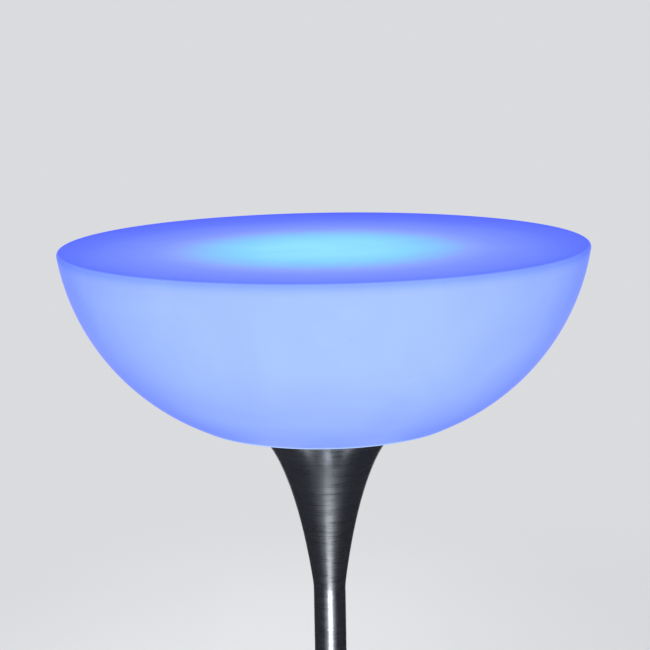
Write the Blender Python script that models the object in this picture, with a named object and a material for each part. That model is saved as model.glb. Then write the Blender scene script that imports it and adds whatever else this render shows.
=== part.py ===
"""A light-up bar table, in separate pieces as it comes apart on a bench.

A hollow translucent bowl with a flat top stands on a spun steel trumpet, a straight stem
and a weighted trumpet base. A light unit sits in the bowl's floor, and a control panel
with a push button and a charging socket faces down beside the stem, on the +Y side.

Sizes are in millimetres, and MM turns them into metres. The floor is z = 0 and the stem's
axis is x = y = 0. GAP is the clearance left between pieces that touch.
"""

import math

import bmesh
import bpy
from mathutils import Vector

MM = 0.001
GAP = 0.3
MERGE = 1e-6

# Driving dimensions
TABLE_HEIGHT = 1061.0
BOWL_RADIUS = 350.0
BOWL_HEIGHT = 236.0
BOWL_WALL = 5.0
RIM_ROUND = 4.5
SIDE_CENTRE_R = 54.4
SIDE_CENTRE_UP = 36.8
FOOT_ROUND = 2.4
STEM_RADIUS = 22.0
SHEET = 1.5
NECK_TOP = 580.0
UPPER_JOINT = 480.0
LOWER_JOINT = 285.0
BASE_RADIUS = 225.0
BASE_SKIRT_TOP = 15.0
ROD_RADIUS = 6.0
BOLT_CIRCLE = 89.0
PANEL_Y = 145.0
BOARD_THICK = 1.6
BUTTON_TRAVEL = 1.5

# Heights that follow from them
UNDERSIDE = TABLE_HEIGHT - BOWL_HEIGHT
FLOOR_TOP = UNDERSIDE + BOWL_WALL
RECESS_TOP = UNDERSIDE + 12.0
PLATE_TOP = UNDERSIDE - GAP
PLATE_LOW = PLATE_TOP - 5.0
SEAL_LOW = PLATE_LOW - GAP - 1.0
TRUMPET_TOP = SEAL_LOW - GAP
PANEL_LOW = UNDERSIDE - 4.7
PANEL_TOP = PANEL_LOW + 3.0
TRAY_TOP = PANEL_TOP + 11.9
BOARD_LOW = TRAY_TOP + GAP
BOARD_TOP = BOARD_LOW + BOARD_THICK
FLANGE_LOW = RECESS_TOP - 4.4
FLANGE_TOP = RECESS_TOP - 1.4
COVER_TOP = FLANGE_LOW - GAP
COVER_LOW = COVER_TOP - 3.4
LEDGE_LOW = UNDERSIDE + 43.0
LEDGE_TOP = LEDGE_LOW + 4.3
LAMP_RIM = LEDGE_TOP + 5.7
HUB_LOW = UNDERSIDE - 28.0
SWITCH_LOW = TRAY_TOP - 3.8

# Heights in the foot
RING_TREAD = 3.0
ROD_LOW = 5.0
NUT_LOW = 6.4
NUT_HEIGHT = 10.0
WASHER_LOW = NUT_LOW + NUT_HEIGHT + GAP
WASHER_TOP = WASHER_LOW + 3.0
BALLAST_LOW = 10.0
BALLAST_TOP = 30.0

# How the upper trumpet widens over its height, and the mouth's turned-in lip
FLARE_CONE = 37.0
FLARE_WIDENING = 35.0
FLARE_BELL = 18.0
NECK_EASE = 0.02
TRUMPET_LIP_R = 97.0

# Radii of the light unit
RECESS_R = 74.0
LAMP_HOLE_R = 58.0
FLANGE_R = 72.0
HOUSING_R = 56.0
HOUSING_IN = 53.5
LAMP_SCREW_R = 64.0

# Half sizes of the panel's face, of its tray and of the opening in the shell
PANEL_HALF = (43.0, 21.0)
TRAY_HALF = (33.0, 13.5)
OPENING_HALF = (34.0, 14.5)

# Places of the panel's pieces along X, and the cover's hinge line
BUTTON_X = -16.0
STATUS_X = -4.4
EYE_X = 3.0
SOCKET_X = 16.0
HINGE_Y = PANEL_Y - 7.4
HINGE_Z = PANEL_LOW - 1.9
ANCHOR_Y = PANEL_Y - 9.25
PLUG_Y = PANEL_Y - 7.3

# The lead from the light unit to the panel
LEAD_Z = 849.5
LEAD_RADIUS = 2.4
LEAD_POINTS = [
    (0, 38, 859.8),
    (0, 39, 855),
    (0, 43, 850.9),
    (0, 51, LEAD_Z),
    (0, 59, LEAD_Z),
    (4, 74, 848.4),
    (9, 88, 843.6),
    (10.5, 98, 837.4),
    (9.5, 108, 834.6),
    (6, 116.5, 836),
    (1.5, 124, 839.8),
    (0, PLUG_Y - 8.7, 840.8),
    (0, PLUG_Y - 4.4, 840.8),
]

# Facets round each kind of turned piece
BOWL_SIDES = 48
TRUMPET_SIDES = 36
PLATE_SIDES = 28
LAMP_SIDES = 20
TUBE_SIDES = 20
BOLT_SIDES = 12
SCREW_SIDES = 8


def clear_scene():
    for item in list(bpy.data.objects):
        bpy.data.objects.remove(item, do_unlink=True)


def material(name, colour, roughness, metallic=0.0, glow=None, strength=0.0):
    """A Principled material; glow is the colour of the light that it gives off."""
    finish = bpy.data.materials.new(name)
    finish.use_nodes = True
    shader = finish.node_tree.nodes["Principled BSDF"]
    shader.inputs["Base Color"].default_value = (*colour, 1.0)
    shader.inputs["Roughness"].default_value = roughness
    shader.inputs["Metallic"].default_value = metallic
    if glow:
        shader.inputs["Emission Color"].default_value = (*glow, 1.0)
        shader.inputs["Emission Strength"].default_value = strength
    finish.diffuse_color = (*colour, 1.0)
    return finish


def materials():
    return {
        "lit_shell": material(
            "lit_shell", (0.42, 0.55, 0.98), 0.38, glow=(0.30, 0.45, 1.0), strength=0.8
        ),
        "lamp_dome": material(
            "lamp_dome", (0.80, 0.92, 1.0), 0.3, glow=(0.45, 0.80, 1.0), strength=1.5
        ),
        "brushed_steel": material("brushed_steel", (0.60, 0.61, 0.62), 0.28, 1.0),
        "zinc_steel": material("zinc_steel", (0.66, 0.67, 0.68), 0.35, 1.0),
        "spring_steel": material("spring_steel", (0.52, 0.53, 0.55), 0.3, 1.0),
        "cast_iron": material("cast_iron", (0.10, 0.10, 0.11), 0.7, 0.6),
        "brass": material("brass", (0.75, 0.56, 0.25), 0.35, 1.0),
        "white_plastic": material("white_plastic", (0.82, 0.83, 0.84), 0.45),
        "panel_plastic": material("panel_plastic", (0.045, 0.047, 0.05), 0.5),
        "button_plastic": material("button_plastic", (0.62, 0.64, 0.66), 0.35),
        "eye_plastic": material("eye_plastic", (0.10, 0.01, 0.02), 0.12),
        "status_plastic": material("status_plastic", (0.15, 0.75, 0.35), 0.2),
        "rubber": material("rubber", (0.03, 0.03, 0.032), 0.8),
        "silicone": material("silicone", (0.20, 0.205, 0.21), 0.7),
        "board_green": material("board_green", (0.03, 0.18, 0.08), 0.5),
        "board_metal": material("board_metal", (0.80, 0.81, 0.82), 0.4, 0.8),
        "battery_wrap": material("battery_wrap", (0.05, 0.12, 0.45), 0.4),
        "lead_jacket": material("lead_jacket", (0.02, 0.02, 0.022), 0.55),
    }


def put(name, mesh, finish, place=(0, 0, 0), turn=(0, 0, 0)):
    """An object for a mesh, with its origin at place."""
    mesh.materials.clear()
    mesh.materials.append(finish)
    mesh.shade_smooth()
    mesh.set_sharp_from_angle(angle=math.radians(35))
    item = bpy.data.objects.new(name, mesh)
    item.location = Vector(place) * MM
    item.rotation_euler = [math.radians(angle) for angle in turn]
    bpy.context.scene.collection.objects.link(item)
    return item


def to_mesh(name, shape):
    bmesh.ops.recalc_face_normals(shape, faces=shape.faces)
    mesh = bpy.data.meshes.new(name)
    shape.to_mesh(mesh)
    shape.free()
    return mesh


def arc(centre, radius, start, end, steps):
    """Points on a circle from angle start to angle end, in degrees."""
    angles = [math.radians(start + (end - start) * i / steps) for i in range(steps + 1)]
    return [
        (centre[0] + radius * math.cos(a), centre[1] + radius * math.sin(a)) for a in angles
    ]


def ring_places(radius, count, first=45.0):
    turns = [math.radians(first + 360.0 * i / count) for i in range(count)]
    return [(radius * math.cos(a), radius * math.sin(a)) for a in turns]


def turned_mesh(name, outline, sides):
    """Spins an outline of (radius, height) points once round Z.

    An outline that starts and ends on the axis closes by itself, and any other is closed
    from its last point to its first.
    """
    shape = bmesh.new()
    verts = [shape.verts.new((r * MM, 0, z * MM)) for r, z in outline]
    pairs = list(zip(verts, verts[1:]))
    if outline[0][0] > 0 or outline[-1][0] > 0:
        pairs.append((verts[-1], verts[0]))
    edges = [shape.edges.new(pair) for pair in pairs]
    bmesh.ops.spin(
        shape,
        geom=verts + edges,
        cent=(0, 0, 0),
        axis=(0, 0, 1),
        angle=math.tau,
        steps=sides,
        use_merge=True,
    )
    bmesh.ops.remove_doubles(shape, verts=shape.verts, dist=MERGE)
    return to_mesh(name, shape)


def turned(name, outline, finish, sides, place=(0, 0, 0), turn=(0, 0, 0)):
    return put(name, turned_mesh(name, outline, sides), finish, place, turn)


def rounded_outline(half_x, half_y, corner, steps=3):
    """The corner points of a rectangle with round corners, anticlockwise."""
    corners = [(1, 1, 0), (-1, 1, 90), (-1, -1, 180), (1, -1, 270)]
    points = []
    for side_x, side_y, start in corners:
        centre = (side_x * (half_x - corner), side_y * (half_y - corner))
        points += arc(centre, corner, start, start + 90, steps)
    return points


def slab_mesh(name, outline, low, high, centre=(0, 0)):
    """Extrudes a flat outline from low to high."""
    shape = bmesh.new()
    floor = [((x + centre[0]) * MM, (y + centre[1]) * MM, low * MM) for x, y in outline]
    face = shape.faces.new([shape.verts.new(point) for point in floor])
    grown = bmesh.ops.extrude_face_region(shape, geom=[face])["geom"]
    lifted = [item for item in grown if isinstance(item, bmesh.types.BMVert)]
    bmesh.ops.translate(shape, verts=lifted, vec=(0, 0, (high - low) * MM))
    return to_mesh(name, shape)


def block(name, half, span, finish, centre):
    """An upright block with slightly round corners; span is its low and high ends."""
    outline = rounded_outline(*half, 0.8)
    return put(name, slab_mesh(name, outline, *span, centre), finish)


def add_peg(shape, x, y, radius, low, high, sides):
    """Adds a closed cylinder along Z to a shape that will be joined or cut away."""
    made = bmesh.ops.create_cone(
        shape,
        cap_ends=True,
        segments=sides,
        radius1=radius * MM,
        radius2=radius * MM,
        depth=(high - low) * MM,
    )
    middle = Vector((x, y, (low + high) / 2)) * MM
    bmesh.ops.translate(shape, verts=made["verts"], vec=middle)


def add_brick(shape, x, y, half_x, half_y, low, high):
    """Adds a closed box to a shape that will be joined or cut away."""
    made = bmesh.ops.create_cube(shape, size=1.0)
    size = Vector((2 * half_x, 2 * half_y, high - low)) * MM
    bmesh.ops.scale(shape, verts=made["verts"], vec=size)
    middle = Vector((x, y, (low + high) / 2)) * MM
    bmesh.ops.translate(shape, verts=made["verts"], vec=middle)


def combine(piece, operation, pegs=(), bricks=(), sides=SCREW_SIDES, turn=(0, 0, 0)):
    """Joins to a piece, or cuts from it, pegs (x, y, radius, low, high) and bricks."""
    shape = bmesh.new()
    for peg in pegs:
        add_peg(shape, *peg, sides)
    for brick in bricks:
        add_brick(shape, *brick)
    name = f"{operation.lower()}_{piece.name}_{len(piece.modifiers)}"
    guide = put(name, to_mesh(name, shape), piece.data.materials[0], turn=turn)
    guide.hide_render = True
    guide.display_type = "WIRE"
    step = piece.modifiers.new(operation.lower(), "BOOLEAN")
    step.operation = operation
    step.object = guide


def bowl_side_radius():
    """The side's radius, so that its arc meets the lower end of the rim's rounding."""
    out = BOWL_RADIUS - SIDE_CENTRE_R
    down = SIDE_CENTRE_UP + RIM_ROUND
    return math.hypot(out, down)


def side_arc(radius, high, low, steps):
    """The bowl's side at a radius from the arc's centre, from height high to low."""
    centre = (SIDE_CENTRE_R, TABLE_HEIGHT + SIDE_CENTRE_UP)
    start = math.degrees(math.asin((high - centre[1]) / radius))
    end = math.degrees(math.asin((low - centre[1]) / radius))
    return arc(centre, radius, start, end, steps)


def top_shell(finish):
    """The moulded bowl: flat top, round side, floor with a recess and openings."""
    radius = bowl_side_radius()
    rim_centre = (BOWL_RADIUS - RIM_ROUND, TABLE_HEIGHT - RIM_ROUND)
    outside = [(0, TABLE_HEIGHT)]
    outside += arc(rim_centre, RIM_ROUND, 90, 0, 3)[:-1]
    outside += side_arc(radius, TABLE_HEIGHT - RIM_ROUND, UNDERSIDE + 1.2, 9)
    foot = outside[-1][0]
    outside += [(foot - FOOT_ROUND, UNDERSIDE), (RECESS_R + 0.6, UNDERSIDE)]
    outside += [(RECESS_R, RECESS_TOP), (LAMP_HOLE_R, RECESS_TOP)]
    inside = [(LAMP_HOLE_R, RECESS_TOP + BOWL_WALL)]
    inside += [(RECESS_R + BOWL_WALL, RECESS_TOP + BOWL_WALL)]
    inside += [(RECESS_R + BOWL_WALL + 0.6, FLOOR_TOP)]
    wall = side_arc(radius - BOWL_WALL, FLOOR_TOP, TABLE_HEIGHT - BOWL_WALL, 5)
    inside += wall + [(0, TABLE_HEIGHT - BOWL_WALL)]
    shell = turned("top_shell", outside + inside, finish, BOWL_SIDES)

    inserts = [(x, y, 6.0, UNDERSIDE - 3, FLOOR_TOP + 3) for x, y in ring_places(BOLT_CIRCLE, 4)]
    combine(shell, "DIFFERENCE", inserts, sides=BOLT_SIDES)
    screws = [(x, y, 2.1, RECESS_TOP - 2, RECESS_TOP + 8) for x, y in ring_places(LAMP_SCREW_R, 4)]
    screws += [(x, y, 1.8, UNDERSIDE - 3, FLOOR_TOP + 3) for x, y in panel_screw_places()]
    opening = (0, PANEL_Y, *OPENING_HALF, UNDERSIDE - 3, FLOOR_TOP + 3)
    combine(shell, "DIFFERENCE", screws, [opening])


def thread_inserts(finish):
    """Flanged brass inserts that the top plate's bolts screw into."""
    low = UNDERSIDE + GAP
    seat = FLOOR_TOP + GAP
    bore_top = UNDERSIDE + 11
    top = bore_top + 2
    outline = [(0, top), (5.7, top), (5.7, seat + 2.2), (8.8, seat + 2.2), (8.8, seat)]
    outline += [(5.7, seat), (5.7, low), (4.3, low), (4.3, bore_top), (0, bore_top)]
    mesh = turned_mesh("thread_insert", outline, BOLT_SIDES)
    for number, (x, y) in enumerate(ring_places(BOLT_CIRCLE, 4), 1):
        put(f"thread_insert_{number}", mesh, finish, (x, y, 0))


def plate_bolts(finish):
    """Socket-head bolts under the top plate."""
    top = PLATE_LOW - GAP
    low = top - 5.2
    tip = UNDERSIDE + 9.2
    outline = [(0, low + 2.8), (2.7, low + 2.8), (2.7, low), (6.2, low), (7, low + 1)]
    outline += [(7, top), (4, top), (4, tip - 1.2), (3.2, tip), (0, tip)]
    mesh = turned_mesh("plate_bolt", outline, BOLT_SIDES)
    for number, (x, y) in enumerate(ring_places(BOLT_CIRCLE, 4), 1):
        put(f"plate_bolt_{number}", mesh, finish, (x, y, 0))


def top_plate(finish):
    """The steel plate with the hub that the tie rod screws into."""
    bore = ROD_RADIUS + GAP
    edge = 112.0
    hub = 22.0
    outline = [(bore, PLATE_TOP), (edge - 0.8, PLATE_TOP), (edge, PLATE_TOP - 0.8)]
    outline += [(edge, PLATE_LOW), (hub + 3, PLATE_LOW), (hub, PLATE_LOW - 3)]
    outline += [(hub, HUB_LOW), (bore, HUB_LOW)]
    plate = turned("top_plate", outline, finish, PLATE_SIDES)
    holes = [(x, y, 4.4, PLATE_LOW - 3, PLATE_TOP + 3) for x, y in ring_places(BOLT_CIRCLE, 4)]
    combine(plate, "DIFFERENCE", holes, sides=BOLT_SIDES)


def upper_flare(z):
    """The outer radius of the upper trumpet: a cone, a widening and a bell at the mouth."""
    up = max(0.0, (z - NECK_TOP) / (TRUMPET_TOP - NECK_TOP))
    cone = FLARE_CONE * (math.hypot(up, NECK_EASE) - NECK_EASE)
    return STEM_RADIUS + cone + FLARE_WIDENING * up**3 + FLARE_BELL * up**14


def lower_flare(z):
    """The outer radius of the base trumpet at a height."""
    down = max(0.0, (LOWER_JOINT - 4 - z) / (LOWER_JOINT - 4 - BASE_SKIRT_TOP))
    return STEM_RADIUS + (BASE_RADIUS - STEM_RADIUS) * down**2.9


def inside_of(flare, z):
    """The inner radius of a spun sheet whose outer radius at z is flare(z)."""
    slope = flare(z + 0.5) - flare(z - 0.5)
    return flare(z) - SHEET * math.hypot(1.0, slope)


def heights(start, end, steps, ease=1.0):
    """Heights from start to end, closer together near the start where ease is over 1."""
    return [start + (end - start) * (i / steps) ** ease for i in range(steps + 1)]


def upper_trumpet(finish):
    """The spun trumpet under the bowl, with a flange turned in at its mouth."""
    mouth = upper_flare(TRUMPET_TOP - SHEET)
    lip = TRUMPET_LIP_R
    rows = heights(TRUMPET_TOP - SHEET, NECK_TOP, 10, 1.5)
    outline = [(lip, TRUMPET_TOP), (mouth - SHEET, TRUMPET_TOP)]
    outline += [(upper_flare(z), z) for z in rows]
    outline += [(STEM_RADIUS, UPPER_JOINT), (STEM_RADIUS - SHEET, UPPER_JOINT)]
    outline += [(inside_of(upper_flare, z), z) for z in reversed(rows)]
    outline += [(lip, TRUMPET_TOP - SHEET)]
    turned("upper_trumpet", outline, finish, TRUMPET_SIDES)


def base_trumpet(finish):
    """The spun trumpet that stands on the floor ring."""
    low = RING_TREAD + GAP
    rows = heights(BASE_SKIRT_TOP, LOWER_JOINT - 4, 10, 1.35)
    outline = [(BASE_RADIUS, low)]
    outline += [(lower_flare(z), z) for z in rows]
    outline += [(STEM_RADIUS, LOWER_JOINT), (STEM_RADIUS - SHEET, LOWER_JOINT)]
    outline += [(inside_of(lower_flare, z), z) for z in reversed(rows)]
    outline += [(BASE_RADIUS - SHEET, BASE_SKIRT_TOP - 2), (BASE_RADIUS - SHEET, low)]
    turned("base_trumpet", outline, finish, TRUMPET_SIDES)


def stem(steel, zinc):
    """The straight tube, and the sleeves that line it up with the two trumpets."""
    outer = STEM_RADIUS
    inner = STEM_RADIUS - SHEET
    top = UPPER_JOINT - GAP
    low = LOWER_JOINT + GAP
    outline = [(inner, top), (outer - 0.4, top), (outer, top - 0.4), (outer, low + 0.4)]
    outline += [(outer - 0.4, low), (inner, low)]
    turned("stem_tube", outline, steel, TUBE_SIDES)
    for name, joint in (("upper_spigot", UPPER_JOINT), ("lower_spigot", LOWER_JOINT)):
        rim = inner - GAP
        outline = [(7, joint + 30), (rim - 1, joint + 30), (rim, joint + 29)]
        outline += [(rim, joint - 29), (rim - 1, joint - 30), (7, joint - 30)]
        turned(name, outline, zinc, TUBE_SIDES)


def hex_nut(name, low, finish):
    """A nut on the tie rod, with its bore cut through."""
    corner_radius = 10.4
    top = low + NUT_HEIGHT
    outline = arc((0, 0), corner_radius, 0, 300, 5)
    nut = put(name, slab_mesh(name, outline, low, top), finish)
    bore = (0, 0, ROD_RADIUS + GAP, low - 2, top + 2)
    combine(nut, "DIFFERENCE", [bore], sides=BOLT_SIDES)


def tie_rod(finish):
    """The rod that clamps the stem between the top plate and the ballast."""
    low = ROD_LOW
    top = PLATE_TOP - 0.7
    r = ROD_RADIUS
    outline = [(0, top), (r - 1, top), (r, top - 1), (r, low + 1), (r - 1, low), (0, low)]
    turned("tie_rod", outline, finish, BOLT_SIDES)
    hex_nut("tie_rod_top_nut", HUB_LOW - GAP - NUT_HEIGHT, finish)
    hex_nut("tie_rod_nut", NUT_LOW, finish)
    bore = r + 2 * GAP
    edge = 28.0
    washer = [(bore, WASHER_LOW), (edge, WASHER_LOW), (edge, WASHER_TOP), (bore, WASHER_TOP)]
    turned("tie_rod_washer", washer, finish, TUBE_SIDES)


def ballast_disc(finish):
    """The cast weight, whose rim seats inside the base trumpet's flare."""
    seat = 0.6
    low, web, top = BALLAST_LOW, BALLAST_LOW + 12, BALLAST_TOP
    edge = BASE_RADIUS - 14
    bore = ROD_RADIUS + 1
    pocket = WASHER_TOP + GAP
    outline = [(edge, low), (edge, low + 7)]
    outline += [(inside_of(lower_flare, z) - seat, z) for z in (low + 10, low + 15, top)]
    rim = outline[-1][0] - 10
    outline += [(rim, top), (rim - 4, web), (64, web), (60, top), (bore, top), (bore, pocket)]
    outline += [(32, pocket), (32, low)]
    turned("ballast_disc", outline, finish, TRUMPET_SIDES)


def rubber_rings(finish):
    """The ring the table stands on, and the seal under the top plate."""
    edge = BASE_RADIUS
    grip = edge - SHEET - GAP
    outline = [(edge - 13, 0), (edge, 0), (edge, RING_TREAD), (grip, RING_TREAD)]
    outline += [(grip, RING_TREAD + 6), (edge - 12, RING_TREAD + 6)]
    turned("floor_ring", outline, finish, TRUMPET_SIDES)
    near, far = TRUMPET_LIP_R + 2, TRUMPET_LIP_R + 11
    outline = [(near, SEAL_LOW), (far, SEAL_LOW), (far, SEAL_LOW + 1), (near, SEAL_LOW + 1)]
    turned("trumpet_seal", outline, finish, PLATE_SIDES)


def light_housing(finish):
    """The flanged cup that holds the lamp, and the hole for its lead."""
    outline = [(HOUSING_IN, FLANGE_LOW), (FLANGE_R, FLANGE_LOW), (FLANGE_R, FLANGE_TOP)]
    outline += [(HOUSING_R, FLANGE_TOP), (HOUSING_R, LAMP_RIM), (54.2, LAMP_RIM)]
    outline += [(54.2, LEDGE_TOP), (50.5, LEDGE_TOP), (50.5, LEDGE_LOW), (HOUSING_IN, LEDGE_LOW)]
    housing = turned("light_housing", outline, finish, LAMP_SIDES)
    holes = [(x, y, 2.1, FLANGE_LOW - 2, FLANGE_TOP + 2) for x, y in ring_places(LAMP_SCREW_R, 4)]
    combine(housing, "DIFFERENCE", holes)
    lead_hole = (0, -LEAD_Z, 4.0, HOUSING_IN - 4, HOUSING_R + 4)
    combine(housing, "DIFFERENCE", [lead_hole], sides=BOLT_SIDES, turn=(-90, 0, 0))


def light_seal(finish):
    low = FLANGE_TOP + GAP
    outline = [(LAMP_HOLE_R + 0.5, low), (FLANGE_R, low), (FLANGE_R, low + 0.8)]
    outline += [(LAMP_HOLE_R + 0.5, low + 0.8)]
    seal = turned("housing_gasket", outline, finish, LAMP_SIDES)
    holes = [(x, y, 2.1, low - 2, low + 3) for x, y in ring_places(LAMP_SCREW_R, 4)]
    combine(seal, "DIFFERENCE", holes)


def housing_cover(finish):
    """The lid under the light unit, with three posts that hold the control board up."""
    outline = [(0, COVER_LOW), (69.8, COVER_LOW), (71, COVER_LOW + 1.2), (71, COVER_TOP)]
    outline += [(53, COVER_TOP), (53, COVER_TOP + 3.6), (50, COVER_TOP + 3.6)]
    outline += [(50, COVER_TOP), (0, COVER_TOP)]
    cover = turned("housing_cover", outline, finish, LAMP_SIDES)
    board_low = LEDGE_LOW - GAP - BOARD_THICK
    posts = [(x, y, 3, COVER_TOP - 1, board_low - GAP) for x, y in ring_places(46, 3, 30)]
    combine(cover, "UNION", posts)
    holes = [(x, y, 2.1, COVER_LOW - 2, COVER_TOP + 2) for x, y in ring_places(LAMP_SCREW_R, 4)]
    combine(cover, "DIFFERENCE", holes)


def housing_screws(finish):
    """Screws up through the lid, the flange and the gasket into the bowl."""
    top = COVER_LOW - GAP
    tip = RECESS_TOP + 4.5
    outline = [(0, top - 2.2), (3, top - 2.2), (4, top - 1.2), (4, top), (1.8, top)]
    outline += [(1.8, tip - 1.5), (0, tip)]
    mesh = turned_mesh("housing_screw", outline, SCREW_SIDES)
    for number, (x, y) in enumerate(ring_places(LAMP_SCREW_R, 4), 1):
        put(f"housing_screw_{number}", mesh, finish, (x, y, 0))


def led_board(finish):
    """The metal-backed lamp board, with rings of light-emitting chips."""
    low = LEDGE_TOP + GAP
    top = low + BOARD_THICK
    edge = 53.9
    board = turned("led_board", [(0, top), (edge, top), (edge, low), (0, low)], finish, LAMP_SIDES)
    places = ring_places(40, 12) + ring_places(20, 6)
    chips = [(x, y, 2.5, 2.5, top - 0.4, top + 1.4) for x, y in places]
    combine(board, "UNION", bricks=chips)


def light_dome(finish):
    """The frosted dome over the lamp board."""
    steps = 5
    rise = [math.radians(90.0 * i / steps) for i in range(steps + 1)]
    low = LAMP_RIM + GAP
    outside = [(HOUSING_R * math.cos(a), low + 2.7 + 18 * math.sin(a)) for a in rise]
    inside = [(52.5 * math.cos(a), low + 1.7 + 16.5 * math.sin(a)) for a in rise]
    outside[-1] = (0, outside[-1][1])
    inside[-1] = (0, inside[-1][1])
    foot = LEDGE_TOP + GAP + BOARD_THICK + GAP
    outline = list(reversed(outside)) + [(HOUSING_R, low), (53.9, low), (53.9, foot)]
    outline += [(51, foot), (51, low)] + inside
    turned("light_dome", outline, finish, LAMP_SIDES)


def battery_pack(finish):
    """Two wrapped cells side by side on the lid."""
    outline = rounded_outline(9.5, 19, 9.2, 5)
    mesh = slab_mesh("battery_pack", outline, -33, 33)
    put("battery_pack", mesh, finish, (0, 0, COVER_TOP + GAP + 9.5), (0, 90, 0))


def control_board(finish):
    """The charger and colour board under the lamp board, with its larger parts."""
    top = LEDGE_LOW - GAP
    low = top - BOARD_THICK
    board = turned("control_board", [(0, top), (53, top), (53, low), (0, low)], finish, LAMP_SIDES)
    parts = [(20, -16, 6, 6, low - 7, low + 0.5), (-18, 14, 5, 3.5, low - 4, low + 0.5)]
    parts += [(-20, -14, 4, 4, low - 2, low + 0.5), (0, 38, 5, 4, low - 6, low + 0.5)]
    combine(board, "UNION", bricks=parts)


def smooth_route(points, parts):
    """Points on a Catmull-Rom curve through the route's own points."""
    knots = [Vector(p) for p in points]
    knots = [2 * knots[0] - knots[1]] + knots + [2 * knots[-1] - knots[-2]]
    route = []
    for a, b, c, d in zip(knots, knots[1:], knots[2:], knots[3:]):
        for i in range(parts):
            t = i / parts
            bend = (2 * a - 5 * b + 4 * c - d) * t * t + (3 * b - a - 3 * c + d) * t**3
            route.append(b + ((c - a) * t + bend) / 2)
    return route + [knots[-2]]


def tube_along(name, route, radius, resolution, finish):
    """A round tube with closed ends along a route."""
    curve = bpy.data.curves.new(name, "CURVE")
    curve.dimensions = "3D"
    curve.bevel_depth = radius * MM
    curve.bevel_resolution = resolution
    curve.use_fill_caps = True
    line = curve.splines.new("POLY")
    line.points.add(len(route) - 1)
    for point, place in zip(line.points, route):
        point.co = (*(Vector(place) * MM), 1)
    curve.materials.append(finish)
    item = bpy.data.objects.new(name, curve)
    bpy.context.scene.collection.objects.link(item)
    return item


def panel_lead(jacket, rubber):
    """The lead from the light unit to the control panel, and its grommet."""
    tube_along("panel_lead", smooth_route(LEAD_POINTS, 2), LEAD_RADIUS, 2, jacket)
    outline = [(2.8, 50.8), (6, 50.8), (6, 52.2), (3.7, 52.2), (3.7, 56.4), (6, 56.4)]
    outline += [(6, 57.8), (2.8, 57.8)]
    turned("lead_grommet", outline, rubber, BOLT_SIDES, (0, 0, LEAD_Z), (-90, 0, 0))


def panel_screw_places():
    return [(x, PANEL_Y + y) for x in (-38.5, 38.5) for y in (-16, 16)]


def board_screw_places():
    return [(-28, PANEL_Y + 8.5), (28, PANEL_Y - 8.5)]


def control_panel(finish):
    """The panel's face plate with the open tray behind it."""
    outline = rounded_outline(*PANEL_HALF, 6)
    mesh = slab_mesh("control_panel", outline, PANEL_LOW, PANEL_TOP, (0, PANEL_Y))
    panel = put("control_panel", mesh, finish)
    tray = (0, PANEL_Y, *TRAY_HALF, PANEL_LOW + 1, TRAY_TOP)
    combine(panel, "UNION", bricks=[tray])
    within = [half - 2 for half in TRAY_HALF]
    hollow = (0, PANEL_Y, *within, PANEL_TOP, TRAY_TOP + 3)
    combine(panel, "DIFFERENCE", bricks=[hollow])
    posts = [(x, y, 2.6, PANEL_TOP - 1, TRAY_TOP) for x, y in board_screw_places()]
    combine(panel, "UNION", posts, sides=BOLT_SIDES)
    through = (PANEL_LOW - 2, PANEL_TOP + 2)
    wide = [(BUTTON_X, PANEL_Y, 7.4, *through), (SOCKET_X, PANEL_Y, 5.2, *through)]
    combine(panel, "DIFFERENCE", wide, sides=TUBE_SIDES)
    small = [(EYE_X, PANEL_Y, 3.4, *through), (STATUS_X, PANEL_Y, 1.4, *through)]
    small += [(SOCKET_X, ANCHOR_Y, 1.5, *through)]
    small += [(x, y, 1.8, *through) for x, y in panel_screw_places()]
    small += [(x, y, 1.4, TRAY_TOP - 7, TRAY_TOP + 2) for x, y in board_screw_places()]
    combine(panel, "DIFFERENCE", small)


def panel_gasket(finish):
    low = PANEL_TOP + GAP
    outline = rounded_outline(*[half - 0.4 for half in PANEL_HALF], 6)
    mesh = slab_mesh("panel_gasket", outline, low, low + 1.1, (0, PANEL_Y))
    gasket = put("panel_gasket", mesh, finish)
    holes = [(x, y, 1.8, low - 2, low + 3) for x, y in panel_screw_places()]
    middle = (0, PANEL_Y, *OPENING_HALF, low - 2, low + 3)
    combine(gasket, "DIFFERENCE", holes, [middle])


def small_screws(finish):
    """The panel's four face screws and the board's two."""
    top = PANEL_LOW - GAP
    tip = UNDERSIDE + 4.5
    outline = [(0, top - 1.6), (2.0, top - 1.6), (2.8, top - 0.8), (2.8, top), (1.5, top)]
    outline += [(1.5, tip - 1), (0, tip)]
    mesh = turned_mesh("panel_screw", outline, SCREW_SIDES)
    for number, (x, y) in enumerate(panel_screw_places(), 1):
        put(f"panel_screw_{number}", mesh, finish, (x, y, 0))
    seat = BOARD_TOP + GAP
    outline = [(0, seat + 1.4), (1.5, seat + 1.4), (2.2, seat + 0.7), (2.2, seat)]
    outline += [(1.1, seat), (1.1, TRAY_TOP - 5.4), (0, TRAY_TOP - 6.4)]
    mesh = turned_mesh("board_screw", outline, SCREW_SIDES)
    for number, (x, y) in enumerate(board_screw_places(), 1):
        put(f"board_screw_{number}", mesh, finish, (x, y, 0))


def panel_board(finish):
    """The small board on the tray's rim, with the connector for the lead."""
    board = block("panel_board", TRAY_HALF, (BOARD_LOW, BOARD_TOP), finish, (0, PANEL_Y))
    connector = (0, PLUG_Y, 5, 4, BOARD_LOW + 0.5, BOARD_TOP + 6.4)
    combine(board, "UNION", bricks=[connector])
    holes = [(x, y, 1.4, BOARD_LOW - 2, BOARD_TOP + 2) for x, y in board_screw_places()]
    combine(board, "DIFFERENCE", holes)


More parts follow.
